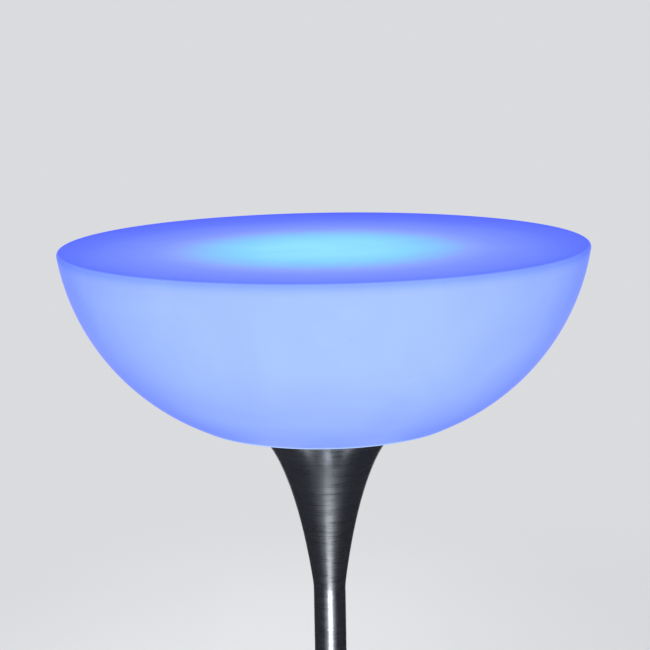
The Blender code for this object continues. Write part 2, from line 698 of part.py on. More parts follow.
def power_button(finish):
    """The round push button; it travels up into the panel along its own axis."""
    seat = PANEL_TOP + GAP
    low = PANEL_LOW - 2.3
    outline = [(0, low + 0.5), (4.6, low), (5.8, low), (7, low + 1.2), (7, seat), (8.6, seat)]
    outline += [(8.6, seat + BUTTON_TRAVEL), (5.4, seat + BUTTON_TRAVEL), (5.4, low + 4)]
    outline += [(0, low + 4)]
    local = [(r, z - PANEL_LOW) for r, z in outline]
    turned("power_button", local, finish, TUBE_SIDES, (BUTTON_X, PANEL_Y, PANEL_LOW))


def button_spring(finish):
    """A coil of five turns between the button's floor and the switch body."""
    turns = 5
    points_per_turn = 8
    wire = 0.4
    coil = 4.2
    low = PANEL_LOW + 1.7 + GAP + wire
    high = SWITCH_LOW - GAP - wire
    count = turns * points_per_turn
    route = []
    for i in range(count + 1):
        angle = math.tau * i / points_per_turn
        x = BUTTON_X + coil * math.cos(angle)
        y = PANEL_Y + coil * math.sin(angle)
        route.append((x, y, low + (high - low) * i / count))
    tube_along("button_spring", route, wire, 1, finish)
    least_gap = (high - low) / turns - 2 * wire
    print(f"button_spring: least gap between turns {least_gap:.2f} mm")


def panel_electrics(m):
    """What the small board carries: switch, socket, receiver and status light."""
    black = m["panel_plastic"]
    span = (SWITCH_LOW, TRAY_TOP)
    switch = block("power_switch", (6, 6), span, black, (BUTTON_X, PANEL_Y))
    plunger = (BUTTON_X, PANEL_Y, 1.8, PANEL_LOW + 3.5, SWITCH_LOW + 1)
    combine(switch, "UNION", [plunger])

    seat = PANEL_TOP + GAP
    socket = block("charge_socket", (7, 7), (seat, TRAY_TOP), black, (SOCKET_X, PANEL_Y))
    nose = (SOCKET_X, PANEL_Y, 4.8, PANEL_LOW + 0.3, seat + 1)
    combine(socket, "UNION", [nose], sides=TUBE_SIDES)
    bore = (SOCKET_X, PANEL_Y, 3.0, PANEL_LOW - 1, TRAY_TOP - 3.2)
    combine(socket, "DIFFERENCE", [bore], sides=TUBE_SIDES)
    pin_hole = (SOCKET_X, PANEL_Y, 1.3, TRAY_TOP - 4, TRAY_TOP + 1)
    combine(socket, "DIFFERENCE", [pin_hole])
    low = PANEL_LOW + 2.7
    pin = [(0, low), (0.7, low), (1, low + 0.5), (1, TRAY_TOP), (0, TRAY_TOP)]
    turned("charge_pin", pin, m["zinc_steel"], SCREW_SIDES, (SOCKET_X, PANEL_Y, 0))

    eye = [(0, PANEL_LOW - 0.9), (1.8, PANEL_LOW - 0.6), (3, PANEL_LOW + 0.4), (3, seat)]
    eye += [(4.1, seat), (4.1, seat + 0.8), (0, seat + 0.8)]
    turned("remote_eye", eye, m["eye_plastic"], BOLT_SIDES, (EYE_X, PANEL_Y, 0))
    block("remote_receiver", (3, 3), (seat + 1.2, TRAY_TOP), black, (EYE_X, PANEL_Y))
    lens = [(0, PANEL_LOW - 0.4), (1.1, PANEL_LOW), (1.1, seat), (1.9, seat)]
    lens += [(1.9, seat + 0.8), (0, seat + 0.8)]
    turned("status_lens", lens, m["status_plastic"], SCREW_SIDES, (STATUS_X, PANEL_Y, 0))
    lamp = [(0, seat + 1.2), (0.9, seat + 1.4), (1.5, seat + 2.4), (1.5, TRAY_TOP), (0, TRAY_TOP)]
    turned("status_lamp", lamp, m["status_plastic"], SCREW_SIDES, (STATUS_X, PANEL_Y, 0))


def socket_cover(finish):
    """The silicone flap over the socket, its origin on its hinge line, and its anchor."""
    hinge = (SOCKET_X, HINGE_Y, HINGE_Z)
    near = 0.15
    reach = 18.2
    thick = 1.6
    middle = (near + reach) / 2
    outline = rounded_outline(8.5, (reach - near) / 2, 2.5)
    mesh = slab_mesh("socket_cover", outline, 0, thick, (0, middle))
    cover = put("socket_cover", mesh, finish, hinge)
    pad_y = PANEL_Y - HINGE_Y
    shape = bmesh.new()
    add_peg(shape, 0, pad_y, 2.3, thick - 0.5, thick + 1.4, BOLT_SIDES)
    pad = put("union_socket_cover", to_mesh("union_socket_cover", shape), finish, hinge)
    pad.hide_render = True
    pad.display_type = "WIRE"
    step = cover.modifiers.new("union", "BOOLEAN")
    step.operation = "UNION"
    step.object = pad

    outline = rounded_outline(5, 2.5, 1)
    centre = (SOCKET_X, HINGE_Y - near - 2.5)
    mesh = slab_mesh("cover_anchor", outline, HINGE_Z, HINGE_Z + thick, centre)
    anchor = put("cover_anchor", mesh, finish)
    top = PANEL_TOP + GAP
    stalk = (SOCKET_X, ANCHOR_Y, 1.2, HINGE_Z + thick - 0.5, top + 0.5)
    combine(anchor, "UNION", [stalk])
    head = (SOCKET_X, ANCHOR_Y, 1.9, top, top + 1)
    combine(anchor, "UNION", [head])


def build():
    clear_scene()
    m = materials()
    top_shell(m["lit_shell"])
    thread_inserts(m["brass"])
    plate_bolts(m["zinc_steel"])
    top_plate(m["zinc_steel"])
    upper_trumpet(m["brushed_steel"])
    base_trumpet(m["brushed_steel"])
    stem(m["brushed_steel"], m["zinc_steel"])
    tie_rod(m["zinc_steel"])
    ballast_disc(m["cast_iron"])
    rubber_rings(m["rubber"])
    light_housing(m["white_plastic"])
    light_seal(m["rubber"])
    housing_cover(m["white_plastic"])
    housing_screws(m["zinc_steel"])
    led_board(m["board_metal"])
    light_dome(m["lamp_dome"])
    battery_pack(m["battery_wrap"])
    control_board(m["board_green"])
    panel_lead(m["lead_jacket"], m["rubber"])
    control_panel(m["panel_plastic"])
    panel_gasket(m["rubber"])
    small_screws(m["zinc_steel"])
    panel_board(m["board_green"])
    power_button(m["button_plastic"])
    button_spring(m["spring_steel"])
    panel_electrics(m)
    socket_cover(m["silicone"])


build()
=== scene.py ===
"""Looks for a light-up bar table, laid out as a Blender add-on and run as a script.

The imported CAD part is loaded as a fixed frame. Each operator makes one group of pieces in
its place there, and the last one sets the studio. Lengths inside the mesh code are in
millimetres, and MM turns them into metres; the add-on's settings, the node trees and the
studio are in metres.
"""

import math

import bmesh
import bpy
from bpy.props import (
    BoolProperty,
    FloatProperty,
    FloatVectorProperty,
    IntProperty,
    PointerProperty,
)
from bpy.types import Operator, Panel, PropertyGroup
from mathutils import Matrix, Vector


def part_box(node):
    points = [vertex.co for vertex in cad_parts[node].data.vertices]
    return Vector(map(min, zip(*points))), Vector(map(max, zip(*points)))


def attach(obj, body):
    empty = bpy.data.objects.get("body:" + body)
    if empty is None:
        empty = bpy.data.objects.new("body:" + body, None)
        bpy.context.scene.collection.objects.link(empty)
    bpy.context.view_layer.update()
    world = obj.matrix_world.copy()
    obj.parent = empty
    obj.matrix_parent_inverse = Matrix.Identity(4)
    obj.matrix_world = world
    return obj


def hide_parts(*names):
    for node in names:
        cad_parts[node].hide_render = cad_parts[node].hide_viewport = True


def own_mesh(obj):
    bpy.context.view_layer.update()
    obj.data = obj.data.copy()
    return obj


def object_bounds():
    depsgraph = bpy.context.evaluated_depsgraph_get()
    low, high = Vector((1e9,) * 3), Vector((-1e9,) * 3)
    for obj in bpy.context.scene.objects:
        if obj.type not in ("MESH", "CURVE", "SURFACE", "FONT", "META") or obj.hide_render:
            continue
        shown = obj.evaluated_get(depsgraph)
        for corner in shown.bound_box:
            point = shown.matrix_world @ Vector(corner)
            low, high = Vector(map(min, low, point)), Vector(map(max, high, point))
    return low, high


bl_info = {
    "name": "Light-up bar table",
    "version": (1, 0, 0),
    "blender": (4, 5, 0),
    "location": "3D View > Sidebar > Bar table",
    "description": "Builds a lit bowl table, its brushed pedestal, its panel and a studio",
    "category": "Object",
}

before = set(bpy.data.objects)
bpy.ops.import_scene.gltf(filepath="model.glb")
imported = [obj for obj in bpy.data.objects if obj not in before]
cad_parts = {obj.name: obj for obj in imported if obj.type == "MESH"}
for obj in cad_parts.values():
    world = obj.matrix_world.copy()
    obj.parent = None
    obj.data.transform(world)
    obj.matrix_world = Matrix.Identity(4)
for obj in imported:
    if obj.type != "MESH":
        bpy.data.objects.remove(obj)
CAD_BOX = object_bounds()
MM = 0.001

# Clearance between neighbouring pieces, thickness of the bowl's wall and of the spun steel
GAP = 0.3
WALL = 5.0
SHEET = 1.5

# Heights, in millimetres above the floor
TOP = CAD_BOX[1].z / MM
UNDERSIDE = TOP - 236.0
FLOOR_TOP = UNDERSIDE + WALL
RECESS_TOP = UNDERSIDE + 12.0
PLATE_TOP = UNDERSIDE - GAP
PLATE_LOW = PLATE_TOP - 5.0
SEAL_LOW = PLATE_LOW - 1.3
TRUMPET_TOP = SEAL_LOW - GAP
PANEL_LOW = UNDERSIDE - 4.7
PANEL_TOP = PANEL_LOW + 3.0
PANEL_SEAT = PANEL_TOP + GAP
TRAY_TOP = PANEL_TOP + 11.9
HUB_LOW = UNDERSIDE - 28.0
NECK_TOP = 580.0
UPPER_JOINT = 480.0
LOWER_JOINT = 285.0
FLARE_TOP = LOWER_JOINT - 4.0
SKIRT_TOP = 15.0
TREAD_TOP = 3.0
FLANGE_LOW = RECESS_TOP - 4.4
FLANGE_TOP = RECESS_TOP - 1.4
COVER_TOP = FLANGE_LOW - GAP
COVER_LOW = COVER_TOP - 3.4
LEDGE_LOW = UNDERSIDE + 43.0
LEDGE_TOP = LEDGE_LOW + 4.3
LAMP_RIM = LEDGE_TOP + 5.7

# Radii, places and other sizes, in millimetres
BOWL_R = 350.0
FOOT_R = 178.0
SIDE_CENTRE = (54.4, TOP + 36.8)
RECESS_R = 74.0
LAMP_HOLE_R = 58.0
HOUSING_R = 56.0
FLANGE_R = 72.0
COVER_R = 71.0
STEM_R = 22.0
BORE_R = STEM_R - SHEET
BASE_R = 225.0
LIP_R = 97.0
PLATE_R = 112.0
HUB_R = 22.0
SEAL_INNER = 99.0
SEAL_OUTER = 108.0
ROD_R = 6.0
THREAD_PITCH = 1.25
BOLT_CIRCLE = 89.0
LAMP_SCREW_CIRCLE = 64.0
LAMP_SCREW_HOLE = 2.1
PANEL_Y = 145.0
PANEL_HALF = (43.0, 21.0)
PANEL_WINDOW = (34.0, 14.5)
PANEL_SCREW_HOLE = 1.8
BUTTON_X = -16.0
STATUS_X = -4.4
EYE_X = 3.0
SOCKET_X = 16.0
HINGE_Y = PANEL_Y - 7.4
HINGE_Z = PANEL_LOW - 1.9
ANCHOR_Y = PANEL_Y - 9.25
PANEL_SCREWS = [(x, PANEL_Y + y) for x in (-38.5, 38.5) for y in (-16.0, 16.0)]
BOARD_SCREWS = [(-28.0, PANEL_Y + 8.5), (28.0, PANEL_Y - 8.5)]

# Edges that turn more than this are shown sharp
SHARP_ANGLE = math.radians(33)

# Corners whose two sides open wider than this are flat enough to be left alone
FLAT_CORNER = math.radians(155)

# The quarter turn that rounds an edge, in five angles
QUARTER = [math.radians(90.0 * i / 4) for i in range(5)]

# The painted glow up the bowl's side, the inner lamp's light through the wall set by height:
# (height from foot to top, linear colour)
SIDE_GLOW = [
    (0.000, (1.20, 1.55, 1.06)),
    (0.006, (1.00, 1.32, 1.06)),
    (0.018, (0.665, 0.930, 1.06)),
    (0.100, (0.592, 0.822, 1.06)),
    (0.310, (0.589, 0.808, 1.06)),
    (0.530, (0.594, 0.817, 1.06)),
    (0.860, (0.562, 0.776, 1.06)),
    (0.930, (0.550, 0.755, 1.06)),
    (0.952, (0.500, 0.705, 1.06)),
    (0.968, (0.425, 0.635, 1.05)),
    (0.984, (0.345, 0.530, 1.04)),
    (1.000, (0.315, 0.475, 1.03)),
]

# The painted glow out over the flat top, a pool of the inner lamp's light round a painted hot spot:
# (distance from the hot spot over its reach, linear colour)
HOT_SPOT = (0.0, -0.062)
GLOW_REACH = 0.40
TOP_GLOW = [
    (0.000, (0.385, 1.065, 1.03)),
    (0.185, (0.350, 1.005, 1.03)),
    (0.300, (0.293, 0.868, 1.03)),
    (0.400, (0.305, 0.668, 1.03)),
    (0.475, (0.326, 0.475, 1.03)),
    (0.550, (0.258, 0.378, 1.03)),
    (0.625, (0.222, 0.325, 1.02)),
    (0.700, (0.178, 0.282, 1.01)),
    (0.790, (0.128, 0.215, 1.00)),
    (1.000, (0.085, 0.141, 0.99)),
]

# The painted glow of the flat underside: (distance from the axis over the foot's radius, colour)
UNDER_GLOW = [
    (0.000, (0.30, 0.46, 0.96)),
    (0.420, (0.30, 0.46, 0.96)),
    (0.460, (0.42, 0.62, 1.02)),
    (0.750, (0.50, 0.72, 1.04)),
    (0.950, (0.60, 0.84, 1.05)),
    (1.000, (0.80, 1.05, 1.06)),
]

# How the flat top differs from the side: the painted shade of its glow at the rim, its coat, and
# its base colour darkened, a painted shade against the lamps' light on the top
RIM_SHADE = 0.96
TOP_COAT = 0.45
TOP_PAINTED_SHADE = 0.35

# The studio: what shows behind the table, the plain light that falls from all round, the
# floor's radius, and the distances in metres between which the floor fades to the backdrop
BACKDROP = (0.70, 0.71, 0.73)
PLAIN_LIGHT = (0.56, 0.56, 0.57)
FLOOR_R = 40000.0
FLOOR_FADE = (0.7, 2.4)

# The finishes by the record's slot names, filled in by the first operator
FINISHES = {}


class BowlSettings(PropertyGroup):
    """Sizes and glow of the moulded bowl."""

    rim_round: FloatProperty(
        name="Rim rounding",
        description="Radius of the rounded edge between the top and the side",
        default=0.0045, min=0.001, max=0.01, unit="LENGTH",
    )
    sides: IntProperty(
        name="Sides", description="Facets round the bowl", default=256, min=48, max=512
    )
    glow: FloatProperty(
        name="Glow", description="Strength of the light through the wall", default=1.0, min=0.0
    )
    skin: FloatVectorProperty(
        name="Skin colour", description="Colour of the plastic under studio light",
        subtype="COLOR", size=3, default=(0.07, 0.09, 0.28), min=0.0, max=1.0,
    )
    peel: FloatProperty(
        name="Skin texture", description="Height of the moulded skin's fine unevenness",
        default=0.00012, min=0.0, unit="LENGTH",
    )


class PedestalSettings(PropertyGroup):
    """Look of the brushed steel."""

    sides: IntProperty(
        name="Sides", description="Facets round the stem", default=192, min=36, max=360
    )
    # The steel's default colour is its own grey cooled a little: a painted tint that stands for the
    # bowl's blue light in its reflections
    steel: FloatVectorProperty(
        name="Steel colour", description="Colour of the brushed steel",
        subtype="COLOR", size=3, default=(0.475, 0.50, 0.54), min=0.0, max=1.0,
    )
    roughness: FloatProperty(
        name="Roughness", description="Roughness of the brushed steel",
        default=0.30, min=0.0, max=1.0, subtype="FACTOR",
    )


class PanelSettings(PropertyGroup):
    """Look of the control panel under the bowl."""

    face: FloatVectorProperty(
        name="Face colour", description="Colour of the panel's plastic",
        subtype="COLOR", size=3, default=(0.035, 0.037, 0.041), min=0.0, max=1.0,
    )
    symbol: BoolProperty(
        name="Power symbol", description="Cut a power symbol into the button", default=True
    )


class StudioSettings(PropertyGroup):
    """Camera, lamps and floor."""

    lens: FloatProperty(
        name="Lens", description="Focal length in millimetres", default=87.35, min=20.0
    )
    distance: FloatProperty(
        name="Distance", description="Distance from the camera to the stem's axis",
        default=2.075, unit="LENGTH",
    )
    height: FloatProperty(
        name="Height", description="Camera height above the floor", default=1.3349, unit="LENGTH"
    )
    pitch: FloatProperty(
        name="Pitch", description="How far the camera looks down",
        default=math.radians(10.53), subtype="ANGLE",
    )
    roll: FloatProperty(
        name="Roll", description="Turn of the camera about its own axis",
        default=math.radians(-1.02), subtype="ANGLE",
    )
    floor: FloatVectorProperty(
        name="Floor colour", description="Colour of the studio floor",
        subtype="COLOR", size=3, default=(0.74, 0.745, 0.755), min=0.0, max=1.0,
    )
    lamps: FloatProperty(
        name="Lamps", description="Scale of all the lamps' power", default=1.0, min=0.0
    )


# Node trees


class Tree:
    """Adds and links the nodes of one material, world or node group."""

    def __init__(self, tree):
        self.tree = tree
        tree.nodes.clear()

    def node(self, kind, inputs=None, **options):
        """A new node of a kind, with its options set and its inputs fed."""
        made = self.tree.nodes.new("ShaderNode" + kind)
        for key, value in options.items():
            setattr(made, key, value)
        for key, value in (inputs or {}).items():
            self.feed(made.inputs[key], value)
        return made

    def feed(self, socket, value):
        """Links a socket to another's output, or sets its own value."""
        if isinstance(value, bpy.types.NodeSocket):
            self.tree.links.new(value, socket)
        else:
            socket.default_value = value

    def place(self):
        """The shaded point in the object's own space, in metres."""
        return self.node("TexCoord").outputs["Object"]

    def flat(self):
        """The same point brought down to height 0."""
        return self.stretch(self.place(), (1.0, 1.0, 0.0))

    def apart(self, vector):
        """The three parts of a vector."""
        return self.node("SeparateXYZ", {0: vector}).outputs

    def maths(self, operation, first, second=0.0, third=0.0, clamp=False):
        """The result of a Math node on up to three values."""
        made = self.node("Math", operation=operation, use_clamp=clamp)
        for socket, value in zip(made.inputs, (first, second, third)):
            self.feed(socket, value)
        return made.outputs[0]

    def times(self, first, second, clamp=False):
        """The product of two values."""
        return self.maths("MULTIPLY", first, second, clamp=clamp)

    def weighed(self, first, *others):
        """The sum of (value, weight) pairs."""
        total = self.times(*first)
        for value, weight in others:
            total = self.maths("MULTIPLY_ADD", value, weight, total)
        return total

    def fit(self, value, low, high, start=0.0, end=1.0):
        """Maps low to high onto start to end with soft ends."""
        inputs = {"Value": value, "From Min": low, "From Max": high, "To Min": start, "To Max": end}
        return self.node("MapRange", inputs, interpolation_type="SMOOTHSTEP").outputs["Result"]

    def vector(self, operation, first, second=None, output="Value"):
        """One output of a Vector Math node."""
        inputs = {0: first} if second is None else {0: first, 1: second}
        return self.node("VectorMath", inputs, operation=operation).outputs[output]

    def stretch(self, vector, scales):
        """A vector scaled along each axis."""
        return self.vector("MULTIPLY", vector, scales, "Vector")

    def blend(self, factor, first, second, how="MIX"):
        """Two colours mixed; each may be a socket or three numbers."""
        made = self.node("Mix", data_type="RGBA", blend_type=how)
        for index, value in ((0, factor), (6, first), (7, second)):
            if index and not isinstance(value, bpy.types.NodeSocket):
                value = (*value, 1.0)
            self.feed(made.inputs[index], value)
        return made.outputs[2]

    def shades(self, factor, colour, low, high):
        """A colour between two strengths of itself."""
        tint = Vector(colour)
        return self.blend(factor, tuple(tint * low), tuple(tint * high))

    def dimmed(self, colour, factor):
        """A colour with its red and green scaled, as thicker plastic dims the glow."""
        factors = self.node("CombineColor", {0: factor, 1: factor, 2: 1.0}).outputs[0]
        return self.blend(1.0, colour, factors, "MULTIPLY")

    def noise(self, vector, scale, detail=3.0, roughness=0.5, fourth=0.0):
        """Noise in four dimensions, from 0 to 1."""
        inputs = {"Vector": vector, "Scale": scale, "Detail": detail}
        inputs |= {"Roughness": roughness, "W": fourth}
        return self.node("TexNoise", inputs, noise_dimensions="4D").outputs["Fac"]

    def ramp(self, value, stops):
        """A colour ramp through (place, colour) stops."""
        made = self.node("ValToRGB", {"Fac": value})
        marks = made.color_ramp.elements
        while len(marks) < len(stops):
            marks.new(1.0)
        for mark, (place, colour) in zip(marks, stops):
            mark.position = place
            mark.color = (*colour, 1.0)
        return made.outputs["Color"]

    def bump(self, height, strength, distance):
        """The normal of a bumped surface."""
        inputs = {"Height": height, "Strength": strength, "Distance": distance}
        return self.node("Bump", inputs).outputs["Normal"]

    def group(self, name, **inputs):
        """The outputs of a shared node group placed with its own values."""
        made = self.node("Group", node_tree=bpy.data.node_groups[name])
        for key, value in inputs.items():
            self.feed(made.inputs[key.replace("_", " ").capitalize()], value)
        return made.outputs


def start_group(name, inputs, outputs):
    """A node group with named number inputs and outputs; gives its tree and its two ends."""
    tree = bpy.data.node_groups.new(name, "ShaderNodeTree")
    for label, value in inputs.items():
        made = tree.interface.new_socket(label, in_out="INPUT", socket_type="NodeSocketFloat")
        made.default_value = value
    for label in outputs:
        tree.interface.new_socket(label, in_out="OUTPUT", socket_type="NodeSocketFloat")
    work = Tree(tree)
    source = tree.nodes.new("NodeGroupInput").outputs
    target = tree.nodes.new("NodeGroupOutput").inputs
    return work, source, target


def make_turned_grain():
    """Fine rings left on a piece that was polished while it turned about Z."""
    inputs = {"Lines": 2600.0, "Drift": 9.0}
    work, source, target = start_group("Turned grain", inputs, ["Tone", "Height"])
    x, y, z = work.apart(work.place())
    radius = work.vector("LENGTH", work.flat())
    turn_x, turn_y = [
        work.times(work.maths("DIVIDE", along, radius), source["Drift"]) for along in (x, y)
    ]
    up, out = [work.times(length, source["Lines"]) for length in (z, radius)]
    ring = work.node("CombineXYZ", {0: turn_x, 1: turn_y, 2: up}).outputs[0]
    fine, middling, wide = [
        work.noise(
            work.stretch(ring, (along, along, across)), 1.0, detail, 0.6, work.times(out, across)
        )
        for along, across, detail in ((1.0, 1.0, 3.0), (0.7, 0.22, 3.0), (0.35, 0.05, 2.0))
    ]
    tone = work.weighed((fine, 0.30), (middling, 0.45), (wide, 0.25))
    work.feed(target["Tone"], work.fit(tone, 0.34, 0.66))
    work.feed(target["Height"], work.weighed((fine, 0.6), (middling, 0.4)))


def make_moulded_skin():
    """Fine unevenness of moulded plastic, soft patches in its tone, and specks and scuffs."""
    inputs = {"Peel scale": 260.0, "Patch scale": 9.0}
    work, source, target = start_group("Moulded skin", inputs, ["Height", "Patches", "Marks"])
    place, peel, patch = work.place(), source["Peel scale"], source["Patch scale"]
    fine = work.noise(place, peel, 2.0, 0.45)
    coarse = work.noise(place, work.times(peel, 0.16), 2.0, 0.5)
    work.feed(target["Height"], work.weighed((fine, 0.4), (coarse, 0.6)))
    inputs = {"Vector": place, "Scale": patch, "Detail": 5.0, "Distortion": 1.2}
    warped = work.node("TexNoise", inputs).outputs["Fac"]
    work.feed(target["Patches"], work.fit(warped, 0.32, 0.68))
    cells = work.node("TexVoronoi", {"Vector": place, "Scale": work.times(peel, 0.22)}).outputs
    chosen = work.fit(work.node("SeparateColor", {0: cells["Color"]}).outputs[0], 0.90, 0.94)
    specks = work.times(work.fit(cells["Distance"], 0.12, 0.05), chosen)
    drawn = work.stretch(place, (1.0, 7.0, 3.0))
    rubs = work.noise(drawn, work.times(patch, 2.5), 5.0, 0.65)
    work.feed(target["Marks"], work.maths("MAXIMUM", specks, work.fit(rubs, 0.64, 0.74)))


def make_handling_marks():
    """Roughness with smudges from hands and cloths."""
    inputs = {"Roughness": 0.4, "Spread": 0.1, "Patch scale": 24.0}
    work, source, target = start_group("Handling marks", inputs, ["Roughness"])
    place = work.place()
    smudge = work.noise(place, source["Patch scale"], 6.0, 0.62)
    streak = work.noise(work.stretch(place, (6.0, 1.0, 1.4)), source["Patch scale"], 4.0)
    both = work.weighed((smudge, 0.6), (streak, 0.4))
    around = work.times(work.maths("SUBTRACT", both, 0.5), source["Spread"])
    work.feed(target["Roughness"], work.maths("ADD", source["Roughness"], around, clamp=True))


def make_edge_wear():
    """A mask along edges, broken up as rubbing breaks it."""
    inputs = {"Width": 0.0006, "Break up": 320.0}
    work, source, target = start_group("Edge wear", inputs, ["Mask"])
    soft = work.node("Bevel", {"Radius": source["Width"]}, samples=6).outputs[0]
    true = work.node("NewGeometry").outputs["Normal"]
    edge = work.fit(work.vector("DOT_PRODUCT", soft, true), 0.995, 0.86)
    broken = work.fit(work.noise(work.place(), source["Break up"], 4.0, 0.6), 0.42, 0.62)
    work.feed(target["Mask"], work.times(edge, broken, clamp=True))


def make_settled_dust():
    """A mask of dust on faces that look up."""
    inputs = {"Amount": 0.3, "Grain": 900.0}
    work, source, target = start_group("Settled dust", inputs, ["Mask"])
    up = work.apart(work.node("NewGeometry").outputs["Normal"])[2]
    place = work.place()
    specks = work.fit(work.noise(place, source["Grain"], 3.0, 0.6), 0.45, 0.75)
    drifts = work.fit(work.noise(place, 14.0, 3.0), 0.35, 0.7)
    lying = work.maths("MULTIPLY_ADD", specks, 0.5, drifts)
    cover = work.times(work.fit(up, 0.35, 0.95), lying)
    work.feed(target["Mask"], work.times(cover, source["Amount"], clamp=True))


def make_circuit_tracks():
    """Masks of copper tracks and of solder pads on a board that lies flat."""
    work, source, target = start_group("Circuit tracks", {"Pitch": 420.0}, ["Tracks", "Pads"])
    inputs = {"Vector": work.flat(), "Scale": source["Pitch"]}
    along = work.node("TexBrick", inputs | {"Mortar Size": 0.035}, offset=0.37)
    dots = work.node("TexVoronoi", inputs)
    work.feed(target["Tracks"], along.outputs["Fac"])
    work.feed(target["Pads"], work.fit(dots.outputs["Distance"], 0.24, 0.18))


def start_finish(name, **constants):
    """A material whose Principled shader has these constants; gives it, its tree and shader."""
    made = bpy.data.materials.new(name)
    made.use_nodes = True
    work = Tree(made.node_tree)
    shader = work.node("BsdfPrincipled")
    work.node("OutputMaterial", {"Surface": shader.outputs[0]})
    for key, value in constants.items():
        shader.inputs[key.replace("_", " ").title().replace("Ior", "IOR")].default_value = value
    return made, work, shader.inputs


def marked(work, roughness, spread, patch_scale):
    """A roughness with handling marks in it."""
    marks = work.group(
        "Handling marks", roughness=roughness, spread=spread, patch_scale=patch_scale
    )
    return marks["Roughness"]


def surface(work, shader, colour, roughness, bump):
    """Feed a shader its colour, its roughness and its bump as (height, strength, distance)."""
    work.feed(shader["Base Color"], colour)
    work.feed(shader["Roughness"], roughness)
    work.feed(shader["Normal"], work.bump(*bump))


def lit_polyethylene(settings):
    """The bowl's wall, lit from inside, with its glow set by place."""
    made, work, shader = start_finish(
        "Lit polyethylene",
        specular_ior_level=0.0,
        coat_roughness=0.3,
        coat_ior=1.05,
        coat_tint=(0.70, 0.7215, 0.975, 1.0),
        emission_strength=settings.glow,
    )
    z, flat = work.apart(work.place())[2], work.flat()
    out = work.vector("LENGTH", flat)
    skin = work.group("Moulded skin", peel_scale=300.0, patch_scale=7.0)

    # The inner lamp's light through the wall is painted into the emission colour by place: up the
    # side, out from the hot spot over the top, and across the underside
    above_foot = work.maths("SUBTRACT", z, UNDERSIDE * MM)
    side = work.ramp(work.maths("DIVIDE", above_foot, (TOP - UNDERSIDE) * MM), SIDE_GLOW)
    far = work.vector("DISTANCE", flat, (*HOT_SPOT, 0.0))
    top = work.ramp(work.maths("DIVIDE", far, GLOW_REACH), TOP_GLOW)
    # Painted shade: a soft darker line in the glow follows the rim, where the wall is thicker in
    # the corner
    top = work.dimmed(top, work.fit(out, (BOWL_R - 20) * MM, (BOWL_R - 7) * MM, 1.0, RIM_SHADE))
    under = work.ramp(work.maths("DIVIDE", out, FOOT_R * MM), UNDER_GLOW)

    on_top = work.fit(z, (TOP - 2.2) * MM, (TOP - 0.1) * MM)
    on_side = work.fit(z, (UNDERSIDE + 0.15) * MM, (UNDERSIDE + 0.7) * MM)
    glow = work.blend(on_top, work.blend(on_side, under, side), top)
    uneven = work.maths("MULTIPLY_ADD", skin["Patches"], 0.05, 0.975)
    uneven = work.maths("MULTIPLY_ADD", skin["Marks"], -0.10, uneven)
    work.feed(shader["Emission Color"], work.dimmed(glow, uneven))
    work.feed(shader["Coat Weight"], work.maths("MULTIPLY_ADD", on_top, TOP_COAT - 1.0, 1.0))

    tone = work.shades(skin["Patches"], settings.skin, 0.94, 1.06)
    # Painted shade: the flat top's base colour is darkened, so the lamps' light on it shows less
    # than on the side
    colour = work.blend(on_top, tone, tuple(Vector(settings.skin) * TOP_PAINTED_SHADE))
    bump = (skin["Height"], 0.6, settings.peel)
    surface(work, shader, colour, marked(work, 0.42, 0.12, 11.0), bump)
    return made


def frosted_dome():
    """The lamp's dome: bright in the middle and dimmer at its rim."""
    made, work, shader = start_finish("Frosted dome", emission_strength=1.0, ior=1.49)
    out = work.vector("LENGTH", work.flat())
    stops = [(0.0, (0.62, 0.95, 1.0)), (0.6, (0.40, 0.78, 1.0)), (1.0, (0.16, 0.42, 0.9))]
    glow = work.ramp(work.maths("DIVIDE", out, HOUSING_R * MM), stops)
    work.feed(shader["Emission Color"], glow)
    skin = work.group("Moulded skin", peel_scale=900.0, patch_scale=20.0)
    colour = work.blend(skin["Patches"], (0.70, 0.78, 0.86), (0.76, 0.84, 0.90))
    surface(work, shader, colour, marked(work, 0.5, 0.1, 40.0), (skin["Height"], 0.4, 0.0001))
    return made


def brushed_steel(settings):
    """Stainless sheet and tube, brushed round the axis."""
    made, work, shader = start_finish(
        "Brushed steel", metallic=1.0, anisotropic=0.75, anisotropic_rotation=0.25
    )
    grain = work.group("Turned grain", lines=2600.0, drift=1.5)
    dust = work.group("Settled dust", amount=0.10, grain=1300.0)["Mask"]
    # The steel colour's cool tint is painted reflected light from the bowl, over the steel's own
    # grey
    tone = work.shades(grain["Tone"], settings.steel, 0.88, 1.12)
    colour = work.blend(dust, tone, (0.52, 0.51, 0.49))
    smudged = work.maths("SUBTRACT", marked(work, settings.roughness, 0.08, 9.0), 0.06)
    grained = work.maths("MULTIPLY_ADD", grain["Tone"], 0.12, smudged)
    rough = work.maths("MULTIPLY_ADD", dust, 0.3, grained, clamp=True)
    surface(work, shader, colour, rough, (grain["Height"], 0.14, 0.00003))
    return made


def plated_metal(name, colour, worn, roughness):
    """Turned or pressed metal with a plated skin that is worn along its edges."""
    made, work, shader = start_finish(name, metallic=1.0)
    grain = work.group("Turned grain", lines=900.0, drift=16.0)
    wear = work.group("Edge wear", width=0.0005, break_up=420.0)
    colour = work.blend(wear["Mask"], work.shades(grain["Tone"], colour, 0.86, 1.10), worn)
    bump = (grain["Height"], 0.3, 0.00005)
    surface(work, shader, colour, marked(work, roughness, 0.16, 60.0), bump)
    return made


